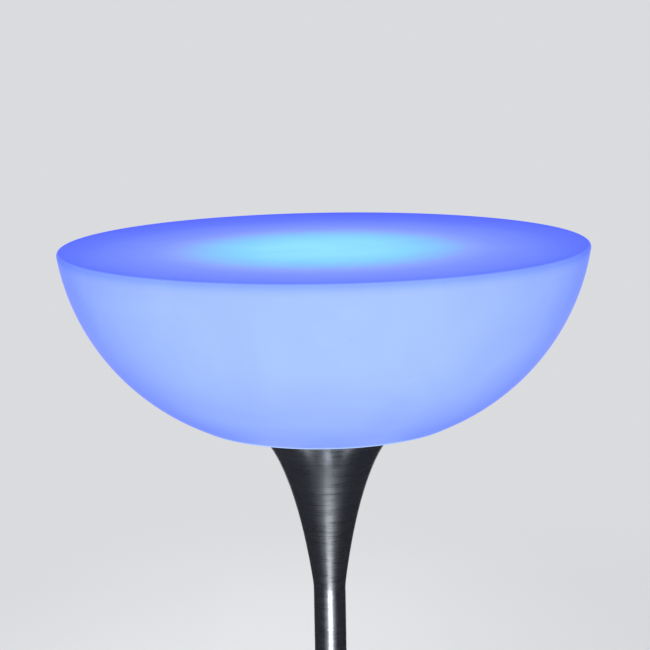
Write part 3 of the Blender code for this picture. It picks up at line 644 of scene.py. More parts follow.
def painted_casting():
    """Cast iron under a thin dark paint, rough from its sand mould."""
    made, work, shader = start_finish("Painted casting")
    place = work.place()
    sand = work.noise(place, 420.0, 6.0, 0.7)
    lumps = work.noise(place, 46.0, 3.0)
    wear = work.group("Edge wear", width=0.0015, break_up=160.0)["Mask"]
    tone = work.blend(work.fit(lumps, 0.3, 0.7), (0.030, 0.031, 0.033), (0.055, 0.056, 0.058))
    colour = work.blend(wear, tone, (0.16, 0.10, 0.07))
    work.feed(shader["Metallic"], work.times(wear, 0.6))
    bump = (work.weighed((sand, 0.4), (lumps, 0.6)), 0.7, 0.0006)
    surface(work, shader, colour, marked(work, 0.68, 0.2, 30.0), bump)
    return made


def moulded_plastic(name, colour, roughness, grain=1500.0, worn=0.5, **constants):
    """Injection-moulded plastic: a fine spark texture, soft patches and rubbed edges."""
    made, work, shader = start_finish(name, **constants)
    skin = work.group("Moulded skin", peel_scale=grain, patch_scale=35.0)
    wear = work.group("Edge wear", width=0.0004, break_up=500.0)
    dust = work.group("Settled dust", amount=0.15, grain=1800.0)
    tone = work.shades(skin["Patches"], colour, 0.92, 1.06)
    pale = tuple(Vector(colour).lerp(Vector((0.75, 0.75, 0.75)), 0.18))
    rubbed = work.blend(work.times(wear["Mask"], worn), tone, pale)
    colour = work.blend(dust["Mask"], rubbed, (0.45, 0.44, 0.42))
    bump = (skin["Height"], 0.5, 0.00004)
    surface(work, shader, colour, marked(work, roughness, 0.14, 70.0), bump)
    return made


def soft_rubber(name, colour, roughness, bloom):
    """Rubber or silicone: matt, with a pale bloom in patches."""
    made, work, shader = start_finish(name, sheen_weight=0.15, sheen_roughness=0.4)
    skin = work.group("Moulded skin", peel_scale=1100.0, patch_scale=26.0)
    dust = work.group("Settled dust", amount=0.35, grain=1500.0)
    pale = tuple(Vector(colour).lerp(Vector((0.5, 0.5, 0.5)), bloom))
    tone = work.blend(work.times(skin["Patches"], 0.7), colour, pale)
    colour = work.blend(dust["Mask"], tone, (0.40, 0.39, 0.37))
    bump = (skin["Height"], 0.6, 0.00008)
    surface(work, shader, colour, marked(work, roughness, 0.1, 50.0), bump)
    return made


def printed_board(name, mask, copper, pitch):
    """A circuit board under its solder mask, with tracks and pads."""
    made, work, shader = start_finish(name)
    tracks, pads = work.group("Circuit tracks", pitch=pitch)
    colour = work.blend(pads, work.shades(tracks, mask, 1.0, 1.7), copper)
    work.feed(shader["Metallic"], work.times(pads, 0.9))
    bump = (work.maths("MAXIMUM", tracks, pads), 0.4, 0.00005)
    surface(work, shader, colour, marked(work, 0.36, 0.14, 80.0), bump)
    return made


def make_finishes(bowl, pedestal, panel):
    """Every finish, by the name of the record's material slot."""
    for make_group in (
        make_turned_grain,
        make_moulded_skin,
        make_handling_marks,
        make_edge_wear,
        make_settled_dust,
        make_circuit_tracks,
    ):
        make_group()
    return {
        "lit_shell": lit_polyethylene(bowl),
        "lamp_dome": frosted_dome(),
        "brushed_steel": brushed_steel(pedestal),
        "zinc_steel": plated_metal("Zinc plate", (0.62, 0.63, 0.62), (0.42, 0.41, 0.40), 0.34),
        "spring_steel": plated_metal("Spring wire", (0.50, 0.51, 0.53), (0.34, 0.33, 0.32), 0.28),
        "cast_iron": painted_casting(),
        "brass": plated_metal("Turned brass", (0.74, 0.54, 0.24), (0.93, 0.92, 0.88), 0.30),
        "white_plastic": moulded_plastic("White plastic", (0.80, 0.81, 0.81), 0.44, worn=0.2),
        "panel_plastic": moulded_plastic("Panel plastic", tuple(panel.face), 0.50),
        "button_plastic": moulded_plastic("Button plastic", (0.60, 0.62, 0.64), 0.32),
        "eye_plastic": moulded_plastic(
            "Infrared window", (0.055, 0.004, 0.010), 0.10, 400.0, 0.1, coat_weight=0.6
        ),
        "status_plastic": moulded_plastic(
            "Charge light lens", (0.12, 0.62, 0.28), 0.16, 400.0, 0.1, transmission_weight=0.25
        ),
        "rubber": soft_rubber("Black rubber", (0.028, 0.028, 0.030), 0.78, 0.05),
        "silicone": soft_rubber("Grey silicone", (0.17, 0.175, 0.18), 0.62, 0.12),
        "board_green": printed_board(
            "Green board", (0.012, 0.10, 0.040), (0.75, 0.72, 0.62), 420.0
        ),
        "board_metal": printed_board("Lamp board", (0.72, 0.73, 0.74), (0.80, 0.76, 0.60), 240.0),
        "battery_wrap": moulded_plastic("Cell wrap", (0.03, 0.10, 0.36), 0.26, 260.0, 0.3),
        "lead_jacket": soft_rubber("Lead jacket", (0.020, 0.020, 0.022), 0.50, 0.03),
    }


# Meshes


def levels(start, end, steps):
    """Evenly spaced values from start to end."""
    return [start + (end - start) * i / steps for i in range(steps + 1)]


def arc(centre, radius, start, end, steps):
    """Points on a circle from angle start to angle end, in degrees."""
    angles = [math.radians(angle) for angle in levels(start, end, steps)]
    return [(centre[0] + radius * math.cos(a), centre[1] + radius * math.sin(a)) for a in angles]


def ring_places(radius, count, first=45.0):
    """Evenly spaced places round the axis, from an angle in degrees."""
    turns = [math.radians(first + 360.0 * i / count) for i in range(count)]
    return [(radius * math.cos(a), radius * math.sin(a)) for a in turns]


def softened(outline, width, closed=True):
    """Rounds each sharp corner of an outline with a short curve no wider than width."""
    count = len(outline)
    result = []
    for i, point in enumerate(outline):
        here = Vector(point)
        back = Vector(outline[i - 1]) - here
        ahead = Vector(outline[(i + 1) % count]) - here
        at_end = not closed and i in (0, count - 1)
        if at_end or min(back.length, ahead.length) < 1e-6 or back.angle(ahead) > FLAT_CORNER:
            result.append(point)
            continue
        reach = min(width, back.length * 0.45, ahead.length * 0.45)
        start = here + back.normalized() * reach
        end = here + ahead.normalized() * reach
        for t in (0.0, 0.3, 0.7, 1.0):
            bent = start * (1 - t) ** 2 + here * 2 * t * (1 - t) + end * t * t
            result.append((bent.x, bent.y))
    return result


def shown_smooth(mesh):
    """Shade a mesh smooth between its sharp edges."""
    mesh.shade_smooth()
    mesh.set_sharp_from_angle(angle=SHARP_ANGLE)
    return mesh


def mesh_from(name, shape):
    """A mesh with its faces turned outwards, from a shape that is then freed."""
    bmesh.ops.recalc_face_normals(shape, faces=shape.faces)
    mesh = bpy.data.meshes.new(name)
    shape.to_mesh(mesh)
    shape.free()
    return shown_smooth(mesh)


def add_ring(shape, points, z=0.0):
    """Adds a level ring of points to a shape."""
    return [shape.verts.new((x * MM, y * MM, z * MM)) for x, y in points]


def bridge(shape, low, high):
    """Joins two closed rings with faces; a ring of one point closes the other to a tip."""
    count = max(len(low), len(high))
    for i in range(count):
        j = (i + 1) % count
        corners = [low[i % len(low)], low[j % len(low)], high[j % len(high)], high[i % len(high)]]
        shape.faces.new(list(dict.fromkeys(corners)))


def stacked_mesh(name, shape, rings):
    """A closed mesh of rings, each joined to the next, with a face over each end."""
    for low, high in zip(rings, rings[1:]):
        bridge(shape, low, high)
    shape.faces.new(list(reversed(rings[0])))
    shape.faces.new(rings[-1])
    return mesh_from(name, shape)


def spun_mesh(name, outline, sides):
    """Turns an outline of (radius, height) about Z; one that touches the axis closes there."""
    shape = bmesh.new()
    turns = [math.tau * i / sides for i in range(sides)]
    rings = []
    for r, z in outline:
        spots = [(r * math.cos(a), r * math.sin(a)) for a in turns] if r > 1e-6 else [(0, 0)]
        rings.append(add_ring(shape, spots, z))
    pairs = list(zip(rings, rings[1:]))
    if len(rings[0]) > 1 or len(rings[-1]) > 1:
        pairs.append((rings[-1], rings[0]))
    for low, high in pairs:
        bridge(shape, low, high)
    return mesh_from(name, shape)


def rounded_outline(half_x, half_y, corner):
    """A rectangle with round corners, anticlockwise."""
    points = []
    for side_x, side_y, start in ((1, 1, 0), (-1, 1, 90), (-1, -1, 180), (1, -1, 270)):
        centre = (side_x * (half_x - corner), side_y * (half_y - corner))
        points += arc(centre, corner, start, start + 90, 8)
    return points


def pillow_mesh(name, half, corner, low, high, edge, centre=(0.0, 0.0)):
    """A rounded rectangle from low to high whose long edges are rounded as well."""
    shape = bmesh.new()
    rows = [(edge * (1 - math.sin(a)), low + edge * (1 - math.cos(a))) for a in QUARTER]
    rows += [(edge * (1 - math.cos(a)), high - edge * (1 - math.sin(a))) for a in QUARTER]
    rings = []
    for inset, z in rows:
        outline = rounded_outline(half[0] - inset, half[1] - inset, corner - inset)
        rings.append(add_ring(shape, [(x + centre[0], y + centre[1]) for x, y in outline], z))
    return stacked_mesh(name, shape, rings)


def prism(outline, low, high):
    """An upright prism over a flat outline."""
    shape = bmesh.new()
    floor, roof = [add_ring(shape, outline, z) for z in (low, high)]
    shape.faces.new(list(reversed(floor)))
    shape.faces.new(roof)
    bridge(shape, floor, roof)
    return mesh_from("prism", shape)


def peg(x, y, radius, low, high, sides=32):
    """A round or many-sided post as (outline, low, high)."""
    return arc((x, y), radius, 0.0, 360.0 - 360.0 / sides, sides - 1), low, high


def pegs(places, radius, low, high):
    """A round post at each place."""
    return [peg(x, y, radius, low, high) for x, y in places]


def brick(x, y, half_x, half_y, low, high):
    """A box as (outline, low, high)."""
    corners = ((-1, -1), (1, -1), (1, 1), (-1, 1))
    return [(x + i * half_x, y + j * half_y) for i, j in corners], low, high


def add_object(name, data):
    """A new object in the scene."""
    item = bpy.data.objects.new(name, data)
    bpy.context.scene.collection.objects.link(item)
    return item


def combined(mesh, operation, solids):
    """The mesh after solids have been joined to it or cut from it."""
    for solid in solids:
        tool, item = add_object("tool", prism(*solid)), add_object("worked", mesh)
        step = item.modifiers.new("step", "BOOLEAN")
        step.operation = operation
        step.object = tool
        ready = item.evaluated_get(bpy.context.evaluated_depsgraph_get())
        result = bpy.data.meshes.new_from_object(ready)
        result.name = mesh.name
        for made in (tool, item):
            bpy.data.objects.remove(made, do_unlink=True)
        mesh = result
    return shown_smooth(mesh)


def piece(name, mesh, body, finish, nodes, at=(0.0, 0.0, 0.0), turn=0.0):
    """Shows a mesh as a piece that rides on a body and stands for CAD nodes."""
    item = add_object(name, mesh)
    item.location = Vector(at) * MM
    item.rotation_euler.z = math.radians(turn)
    if not mesh.materials:
        mesh.materials.append(FINISHES[finish])
    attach(item, body)
    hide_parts(*nodes)
    return item


def turned(name, outline, sides, finish, node, holes=(), at=(0.0, 0.0, 0.0)):
    """Shows an outline turned about Z, with holes cut in it, as a piece of the table's body."""
    mesh = combined(spun_mesh(name, outline, sides), "DIFFERENCE", holes)
    return piece(name, mesh, "table", finish, [node], at)


def upper_flare(z):
    """The outer radius of the upper trumpet: a cone, a widening and a bell at the mouth."""
    up = max(0.0, (z - NECK_TOP) / (TRUMPET_TOP - NECK_TOP))
    return STEM_R + 37.7 * (math.hypot(up, 0.045) - 0.045) + 35.0 * up**3 + 18.0 * up**14


def lower_flare(z):
    """The outer radius of the base trumpet."""
    down = max(0.0, (FLARE_TOP - z) / (FLARE_TOP - SKIRT_TOP))
    return STEM_R + (BASE_R - STEM_R) * down**2.9


def sheet_inside(flare, z):
    """The inner radius of a spun trumpet, a sheet's thickness in from its outside."""
    slope = flare(z + 0.5) - flare(z - 0.5)
    return flare(z) - SHEET * math.hypot(1.0, slope)


# Operators


class BARTABLE_OT_finishes(Operator):
    """Make the shared node groups and every finish"""

    bl_idname = "bartable.finishes"
    bl_label = "Make finishes"

    def execute(self, context):
        scene = context.scene
        FINISHES.update(make_finishes(scene.table_bowl, scene.table_pedestal, scene.table_panel))
        return {"FINISHED"}


class BARTABLE_OT_bowl(Operator):
    """Make the hollow lit bowl with its flat top"""

    bl_idname = "bartable.bowl"
    bl_label = "Make the bowl"

    def execute(self, context):
        settings = context.scene.table_bowl
        rim = settings.rim_round / MM
        centre_r, centre_z = SIDE_CENTRE
        radius = math.hypot(BOWL_R - centre_r, centre_z - (TOP - rim))

        def side(reach, high, low, steps):
            start, end = [math.degrees(math.asin((z - centre_z) / reach)) for z in (high, low)]
            return arc(SIDE_CENTRE, reach, start, end, steps)

        outside = [(r, TOP) for r in (0, 60, 130, 210, 290, 335, 343)]
        outside += arc((BOWL_R - rim, TOP - rim), rim, 90, 0, 12)[:-1]
        outside += side(radius, TOP - rim, UNDERSIDE + 1.2, 84)
        foot = outside[-1][0]
        outside += [(foot - 0.5, UNDERSIDE + 0.55), (foot - 1.3, UNDERSIDE + 0.12)]
        under = (foot - 2.4, foot - 6, 130, RECESS_R + 6, RECESS_R + 1.6)
        outside += [(r, UNDERSIDE) for r in under]
        outside += [(RECESS_R + 0.6, UNDERSIDE + 1), (RECESS_R, RECESS_TOP)]
        outside += [(LAMP_HOLE_R, RECESS_TOP)]
        inside = [(LAMP_HOLE_R, RECESS_TOP + WALL), (RECESS_R + WALL, RECESS_TOP + WALL)]
        inside += [(RECESS_R + WALL + 0.6, FLOOR_TOP)]
        inside += side(radius - WALL, FLOOR_TOP, TOP - WALL, 40) + [(0, TOP - WALL)]
        low, high = UNDERSIDE - 3, FLOOR_TOP + 3
        holes = pegs(ring_places(BOLT_CIRCLE, 4), 6.0, low, high)
        holes += [brick(0, PANEL_Y, *PANEL_WINDOW, low, high)]
        turned("bowl", outside + inside, settings.sides, "lit_shell", "top_shell", holes)
        return {"FINISHED"}


class BARTABLE_OT_pedestal(Operator):
    """Make the two spun trumpets and the straight stem"""

    bl_idname = "bartable.pedestal"
    bl_label = "Make the pedestal"

    def execute(self, context):
        sides = context.scene.table_pedestal.sides
        rows = levels(TRUMPET_TOP - SHEET, NECK_TOP, 90)
        mouth = upper_flare(rows[0])
        outline = [(LIP_R, TRUMPET_TOP), (mouth - 4, TRUMPET_TOP)]
        outline += arc((mouth - SHEET, TRUMPET_TOP - SHEET), SHEET, 90, 0, 6)[:-1]
        outline += [(upper_flare(z), z) for z in rows]
        outline += [(STEM_R, z) for z in levels(NECK_TOP - 6, UPPER_JOINT + 6, 12)]
        outline += [(STEM_R, UPPER_JOINT + 0.5), (STEM_R - 0.35, UPPER_JOINT)]
        outline += [(BORE_R, UPPER_JOINT), (BORE_R, NECK_TOP - 3)]
        outline += [(sheet_inside(upper_flare, z), z) for z in reversed(rows)]
        outline += [(LIP_R, TRUMPET_TOP - SHEET)]
        turned("upper_trumpet_spun", outline, sides, "brushed_steel", "upper_trumpet")

        low = TREAD_TOP + GAP
        rows = levels(SKIRT_TOP, FLARE_TOP, 100)
        outline = [(BASE_R - 0.4, low), (BASE_R, low + 0.4), (BASE_R, SKIRT_TOP - 4)]
        outline += [(lower_flare(z), z) for z in rows]
        outline += [(STEM_R, LOWER_JOINT - 0.5), (STEM_R - 0.35, LOWER_JOINT)]
        outline += [(BORE_R, LOWER_JOINT)]
        outline += [(sheet_inside(lower_flare, z), z) for z in reversed(rows)]
        outline += [(BASE_R - SHEET, SKIRT_TOP - 2), (BASE_R - SHEET, low)]
        turned("base_trumpet_spun", outline, sides, "brushed_steel", "base_trumpet")

        top, low = UPPER_JOINT - GAP, LOWER_JOINT + GAP
        end = [(BORE_R, 0), (STEM_R - 0.4, 0), (STEM_R - 0.1, 0.12), (STEM_R, 0.5)]
        outline = [(r, top - z) for r, z in end]
        outline += [(STEM_R, z) for z in levels(top - 3, low + 3, 40)]
        outline += [(r, low + z) for r, z in reversed(end)]
        turned("stem_brushed", outline, sides, "brushed_steel", "stem_tube")
        rim = BORE_R - GAP
        for joint, node in ((UPPER_JOINT, "upper_spigot"), (LOWER_JOINT, "lower_spigot")):
            upper = [(7, 30), (rim - 1, 30), (rim, 29)]
            outline = [(r, joint + z) for r, z in upper]
            outline += [(r, joint - z) for r, z in reversed(upper)]
            turned(node + "_sleeve", outline, 64, "zinc_steel", node)
        return {"FINISHED"}


class BARTABLE_OT_foot(Operator):
    """Make the rubber ring, the cast weight and the tie rod's fittings"""

    bl_idname = "bartable.foot"
    bl_label = "Make the foot"

    def execute(self, context):
        grip = BASE_R - SHEET - GAP
        outline = [(BASE_R - 13, 0.5), (BASE_R - 12.5, 0)]
        for groove in (BASE_R - 9.5, BASE_R - 5.5):
            outline += [(groove + r, z) for r, z in ((-0.8, 0), (-0.4, 0.9), (0.4, 0.9), (0.8, 0))]
        outline += [(BASE_R - 0.6, 0), (BASE_R, 0.6), (BASE_R, 2.6), (BASE_R - 0.4, TREAD_TOP)]
        outline += [(grip, TREAD_TOP), (grip, 8.5), (grip - 0.5, 9), (BASE_R - 12, 9)]
        turned("floor_ring_moulded", outline, 192, "rubber", "floor_ring")

        low, web, top = 10.0, 22.0, 30.0
        outline = [(211, low), (211, low + 7)]
        outline += [(sheet_inside(lower_flare, z) - 2 * GAP, z) for z in (20, 25, top)]
        rim = outline[-1][0] - 10
        outline += [(rim, top), (rim - 4, web), (64, web), (60, top), (7, top), (7, 20)]
        outline += [(32, 20), (32, low)]
        turned("ballast_casting", softened(outline, 1.2), 160, "cast_iron", "ballast_disc")

        washer = [(6.6, 16.7), (28, 16.7), (28, 19.7), (6.6, 19.7)]
        turned("foot_washer", softened(washer, 0.3), 72, "zinc_steel", "tie_rod_washer")
        rod = [(0, PLATE_TOP - 0.7), (ROD_R - 1, PLATE_TOP - 0.7), (ROD_R, PLATE_TOP - 1.7)]
        rod += threaded(PLATE_TOP - 2, HUB_LOW - 14)
        rod += threaded(32, 7) + [(5.2, 6), (4.4, 5), (0, 5)]
        turned("threaded_rod", rod, 40, "zinc_steel", "tie_rod")
        for low, node in ((HUB_LOW - 10.3, "tie_rod_top_nut"), (6.4, "tie_rod_nut")):
            piece(node + "_hex", hexagon_nut(low), "table", "zinc_steel", [node])
        return {"FINISHED"}


def threaded(high, low):
    """The rod's outline between two heights, with a ring for each turn of thread."""
    outline = []
    for i in range(int((high - low) / THREAD_PITCH)):
        z = high - i * THREAD_PITCH
        outline += [(ROD_R, z), (ROD_R, z - THREAD_PITCH * 0.12), (5.45, z - THREAD_PITCH * 0.55)]
    return outline


def hexagon_nut(low):
    """A bored hexagon nut with its corners chamfered."""
    outline = [(0, low), (9.2, low), (10.6, low + 0.9), (10.6, low + 9.1), (9.2, low + 10)]
    blank = spun_mesh("nut", outline + [(0, low + 10)], 48)
    blank = combined(blank, "INTERSECT", [peg(0, 0, 10.4, low - 1, low + 11, 6)])
    return combined(blank, "DIFFERENCE", [peg(0, 0, ROD_R + GAP, low - 2, low + 12)])


class BARTABLE_OT_top_plate(Operator):
    """Make the plate under the bowl with its bolts, inserts and seal"""

    bl_idname = "bartable.top_plate"
    bl_label = "Make the top plate"

    def execute(self, context):
        places = ring_places(BOLT_CIRCLE, 4)
        bore = ROD_R + GAP
        outline = [(bore, PLATE_TOP), (PLATE_R, PLATE_TOP), (PLATE_R, PLATE_LOW)]
        outline += [(HUB_R + 3, PLATE_LOW), (HUB_R, PLATE_LOW - 3), (HUB_R, HUB_LOW)]
        outline = softened(outline + [(bore, HUB_LOW)], 0.7)
        holes = pegs(places, 4.4, PLATE_LOW - 3, PLATE_TOP + 3)
        turned("plate_turned", outline, 144, "zinc_steel", "top_plate", holes)

        outline = [(SEAL_INNER, SEAL_LOW), (SEAL_OUTER, SEAL_LOW)]
        outline += [(SEAL_OUTER, SEAL_LOW + 1), (SEAL_INNER, SEAL_LOW + 1)]
        turned("seal_ring", softened(outline, 0.3), 144, "rubber", "trumpet_seal")

        top = PLATE_LOW - GAP
        low, tip = top - 5.2, UNDERSIDE + 9.2
        outline = [(0, low), (6.2, low), (6.75, low + 0.25), (7, low + 0.8), (7, top), (4, top)]
        outline += [(4, tip - 1.2), (3.2, tip), (0, tip)]
        bolt = spun_mesh("socket_bolt", outline, 40)
        bolt = combined(bolt, "DIFFERENCE", [peg(0, 0, 2.9, low - 1, low + 2.8, 6)])
        seat, foot, bore_top = FLOOR_TOP + GAP, UNDERSIDE + GAP, UNDERSIDE + 11
        outline = [(0, bore_top + 2), (5.2, bore_top + 2), (5.7, bore_top + 1.5)]
        outline += [(5.7, seat + 2.2), (8.4, seat + 2.2), (8.8, seat + 1.8), (8.8, seat)]
        outline += [(5.7, seat), (5.7, foot), (4.3, foot), (4.3, bore_top), (0, bore_top)]
        insert = spun_mesh("brass_insert", outline, 40)
        for number, (x, y) in enumerate(places, 1):
            nodes, at = [f"plate_bolt_{number}"], (x, y, 0)
            piece(f"socket_bolt_{number}", bolt, "table", "zinc_steel", nodes, at, 17.0 * number)
            nodes = [f"thread_insert_{number}"]
            piece(f"brass_insert_{number}", insert, "table", "brass", nodes, at)
        return {"FINISHED"}


class BARTABLE_OT_light_unit(Operator):
    """Make the lamp's housing, lid, gasket, screws and dome"""

    bl_idname = "bartable.light_unit"
    bl_label = "Make the light unit"

    def execute(self, context):
        spots = ring_places(LAMP_SCREW_CIRCLE, 4)

        def screw_holes(low, high):
            return pegs(spots, LAMP_SCREW_HOLE, low, high)

        outline = [(53.5, FLANGE_LOW), (FLANGE_R, FLANGE_LOW), (FLANGE_R, FLANGE_TOP)]
        outline += [(HOUSING_R, FLANGE_TOP), (HOUSING_R, LAMP_RIM), (54.2, LAMP_RIM)]
        outline += [(54.2, LEDGE_TOP), (50.5, LEDGE_TOP), (50.5, LEDGE_LOW), (53.5, LEDGE_LOW)]
        outline, holes = softened(outline, 0.4), screw_holes(FLANGE_LOW - 2, FLANGE_TOP + 2)
        turned("lamp_housing", outline, 96, "white_plastic", "light_housing", holes)

        low = FLANGE_TOP + GAP
        outline = [(58.5, low), (FLANGE_R, low), (FLANGE_R, low + 0.8), (58.5, low + 0.8)]
        holes = screw_holes(low - 2, low + 3)
        turned("lamp_gasket", outline, 96, "rubber", "housing_gasket", holes)

        outline = [(0, COVER_LOW), (COVER_R, COVER_LOW), (COVER_R, COVER_TOP), (53, COVER_TOP)]
        outline += [(53, COVER_TOP + 3.6), (50, COVER_TOP + 3.6), (50, COVER_TOP), (0, COVER_TOP)]
        mesh = spun_mesh("lamp_lid", softened(outline, 0.7, closed=False), 96)
        posts = pegs(ring_places(46, 3, 30), 3, COVER_TOP - 1, LEDGE_LOW - 2.2)
        mesh = combined(mesh, "UNION", posts)
        mesh = combined(mesh, "DIFFERENCE", screw_holes(COVER_LOW - 2, COVER_TOP + 2))
        piece("lamp_lid", mesh, "table", "white_plastic", ["housing_cover"])
        screw = pan_screw("lid_screw", COVER_LOW - GAP, 2.2, 4.0, 1.8, RECESS_TOP + 4.5)
        show_screws("lid_screw", screw, "housing_screw", spots, 29.0)

        low = LAMP_RIM + GAP
        foot = LEDGE_TOP + 2.2
        rise = [math.radians(angle) for angle in levels(0.0, 90.0, 20)[:-1]]
        outside = [(HOUSING_R * math.cos(a), low + 2.7 + 18 * math.sin(a)) for a in rise]
        inside = [(52.5 * math.cos(a), low + 1.7 + 16.5 * math.sin(a)) for a in rise]
        outline = [(0, low + 20.7)] + outside[::-1] + [(HOUSING_R, low), (53.9, low), (53.9, foot)]
        outline += [(51, foot), (51, low)] + inside + [(0, low + 18.2)]
        turned("frosted_dome", outline, 96, "lamp_dome", "light_dome")
        return {"FINISHED"}


def pan_screw(name, top, height, head, shank, tip):
    """A screw that points up, with a domed head and a cross recess under it."""
    low, pitch = top - height, 0.8
    outline = [(0, low), (head * 0.55, low + 0.08), (head * 0.82, low + height * 0.22)]
    outline += [(head * 0.96, low + height * 0.5), (head, top - 0.3), (head, top), (shank, top)]
    z = top + 0.6
    while z + pitch < tip - 1:
        outline += [(shank, z), (shank * 0.8, z + pitch / 2)]
        z += pitch
    outline += [(shank, tip - 1), (0, tip)]
    arm, wing = head * 0.56, head * 0.12
    deep = low + height * 0.62
    cuts = [brick(0, 0, arm, wing, low - 1, deep), brick(0, 0, wing, arm, low - 1, deep)]
    return combined(spun_mesh(name, outline, 32), "DIFFERENCE", cuts)


def show_screws(name, screw, node, spots, turn):
    """Shows one screw at each spot, each driven a further turn in degrees."""
    for number, (x, y) in enumerate(spots, 1):
        nodes, at = [f"{node}_{number}"], (x, y, 0)
        piece(f"{name}_{number}", screw, "table", "zinc_steel", nodes, at, turn * number)


class BARTABLE_OT_panel(Operator):
    """Make the control panel with its gasket, screws, eye and charge light"""

    bl_idname = "bartable.panel"
    bl_label = "Make the control panel"

    def execute(self, context):
        mesh = pillow_mesh("panel_face", PANEL_HALF, 6, PANEL_LOW, PANEL_TOP, 0.9, (0, PANEL_Y))
        collar = peg(BUTTON_X, PANEL_Y, 9.6, PANEL_LOW - 0.5, PANEL_LOW + 1, 64)
        tray = brick(0, PANEL_Y, 33, 13.5, PANEL_LOW + 1.2, TRAY_TOP)
        mesh = combined(mesh, "UNION", [collar, tray])
        hollow = brick(0, PANEL_Y, 31, 11.5, PANEL_TOP, TRAY_TOP + 3)
        mesh = combined(mesh, "DIFFERENCE", [hollow])
        mesh = combined(mesh, "UNION", pegs(BOARD_SCREWS, 2.6, PANEL_TOP - 1, TRAY_TOP))
        low, high = PANEL_LOW - 2, PANEL_TOP + 2
        holes = [peg(BUTTON_X, PANEL_Y, 7.4, low, high, 64)]
        holes += [peg(SOCKET_X, PANEL_Y, 5.2, low, high, 48)]
        holes += [peg(EYE_X, PANEL_Y, 3.4, low, high), peg(STATUS_X, PANEL_Y, 1.4, low, high)]
        holes += [peg(SOCKET_X, ANCHOR_Y, 1.5, low, high)]
        holes += pegs(PANEL_SCREWS, PANEL_SCREW_HOLE, low, high)
        holes += pegs(BOARD_SCREWS, 1.4, TRAY_TOP - 7, TRAY_TOP + 2)
        mesh = combined(mesh, "DIFFERENCE", holes)
        piece("panel_face", mesh, "table", "panel_plastic", ["control_panel"])

        half = [length - 0.4 for length in PANEL_HALF]
        low, high = PANEL_SEAT - 2, PANEL_SEAT + 3
        mesh = pillow_mesh("panel_seal", half, 6, PANEL_SEAT, PANEL_SEAT + 1.1, 0.2, (0, PANEL_Y))
        holes = [brick(0, PANEL_Y, *PANEL_WINDOW, low, high)]
        holes += pegs(PANEL_SCREWS, PANEL_SCREW_HOLE, low, high)
        mesh = combined(mesh, "DIFFERENCE", holes)
        piece("panel_seal", mesh, "table", "rubber", ["panel_gasket"])
        screw = pan_screw("face_screw", PANEL_LOW - GAP, 1.6, 2.8, 1.5, UNDERSIDE + 4.5)
        show_screws("face_screw", screw, "panel_screw", PANEL_SCREWS, 37.0)

        back = PANEL_SEAT + 0.8
        eye = [(0, -0.9), (0.9, -0.84), (1.8, -0.6), (2.5, -0.15), (3, 0.4)]
        eye = [(r, PANEL_LOW + z) for r, z in eye]
        eye += [(3, PANEL_SEAT), (4.1, PANEL_SEAT), (4.1, back), (0, back)]
        at = (EYE_X, PANEL_Y, 0)
        turned("infrared_window", eye, 40, "eye_plastic", "remote_eye", at=at)
        lens = [(0, PANEL_LOW - 0.4), (0.6, PANEL_LOW - 0.3), (1.1, PANEL_LOW)]
        lens += [(1.1, PANEL_SEAT), (1.9, PANEL_SEAT), (1.9, back), (0, back)]
        at = (STATUS_X, PANEL_Y, 0)
        turned("charge_light", lens, 32, "status_plastic", "status_lens", at=at)
        return {"FINISHED"}


class BARTABLE_OT_button(Operator):
    """Make the push button and its return coil"""

    bl_idname = "bartable.button"
    bl_label = "Make the button"

    def execute(self, context):
        low, seat = -2.3, PANEL_SEAT - PANEL_LOW
        outline = [(0, low + 0.5), (2.4, low + 0.32), (4.4, low + 0.05), (5.2, low)]
        outline += [(5.9, low + 0.08), (6.7, low + 0.55), (7, low + 1.3), (7, seat), (8.6, seat)]
        outline += [(8.6, seat + 1.5), (5.4, seat + 1.5), (5.4, low + 4), (0, low + 4)]
        mesh = spun_mesh("button_cap", outline, 64)
        if context.scene.table_panel.symbol:
            ring = arc((0, 0), 2.3, 125, 415, 28) + arc((0, 0), 1.8, 415, 125, 28)
            bar = brick(0, 1.9, 0.26, 1.0, low - 1, low + 0.75)
            mesh = combined(mesh, "DIFFERENCE", [(ring, low - 1, low + 0.75), bar])
        at = (BUTTON_X, PANEL_Y, PANEL_LOW)
        piece("button_cap", mesh, "button", "button_plastic", ["power_button"], at)

        low, high = [corner.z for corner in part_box("button_spring")]
        mesh = coil_mesh("return_coil", 4.2, 0.4, low / MM, high / MM, 5)
        at = (BUTTON_X, PANEL_Y, 0)
        coil = piece("return_coil", mesh, "table", "spring_steel", ["button_spring"], at)
        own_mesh(coil)
        return {"FINISHED"}


def coil_mesh(name, radius, wire, low, high, turns):
    """A coil of round wire wound up from low to high, with its two end turns closed."""
    shape = bmesh.new()
    span = high - low - 2 * wire
    closed = 2.05 * wire
    rings = []
    for turn in levels(0, turns, turns * 32):
        if turn < 1:
            height = closed * turn
        elif turn > turns - 1:
            height = span - closed * (turns - turn)
        else:
            height = closed + (span - 2 * closed) * (turn - 1) / (turns - 2)
        section = arc((radius, low + wire + height), wire, 0, 330, 11)
        x, y = math.cos(math.tau * turn), math.sin(math.tau * turn)
        rings.append([shape.verts.new((r * x * MM, r * y * MM, z * MM)) for r, z in section])
    return stacked_mesh(name, shape, rings)


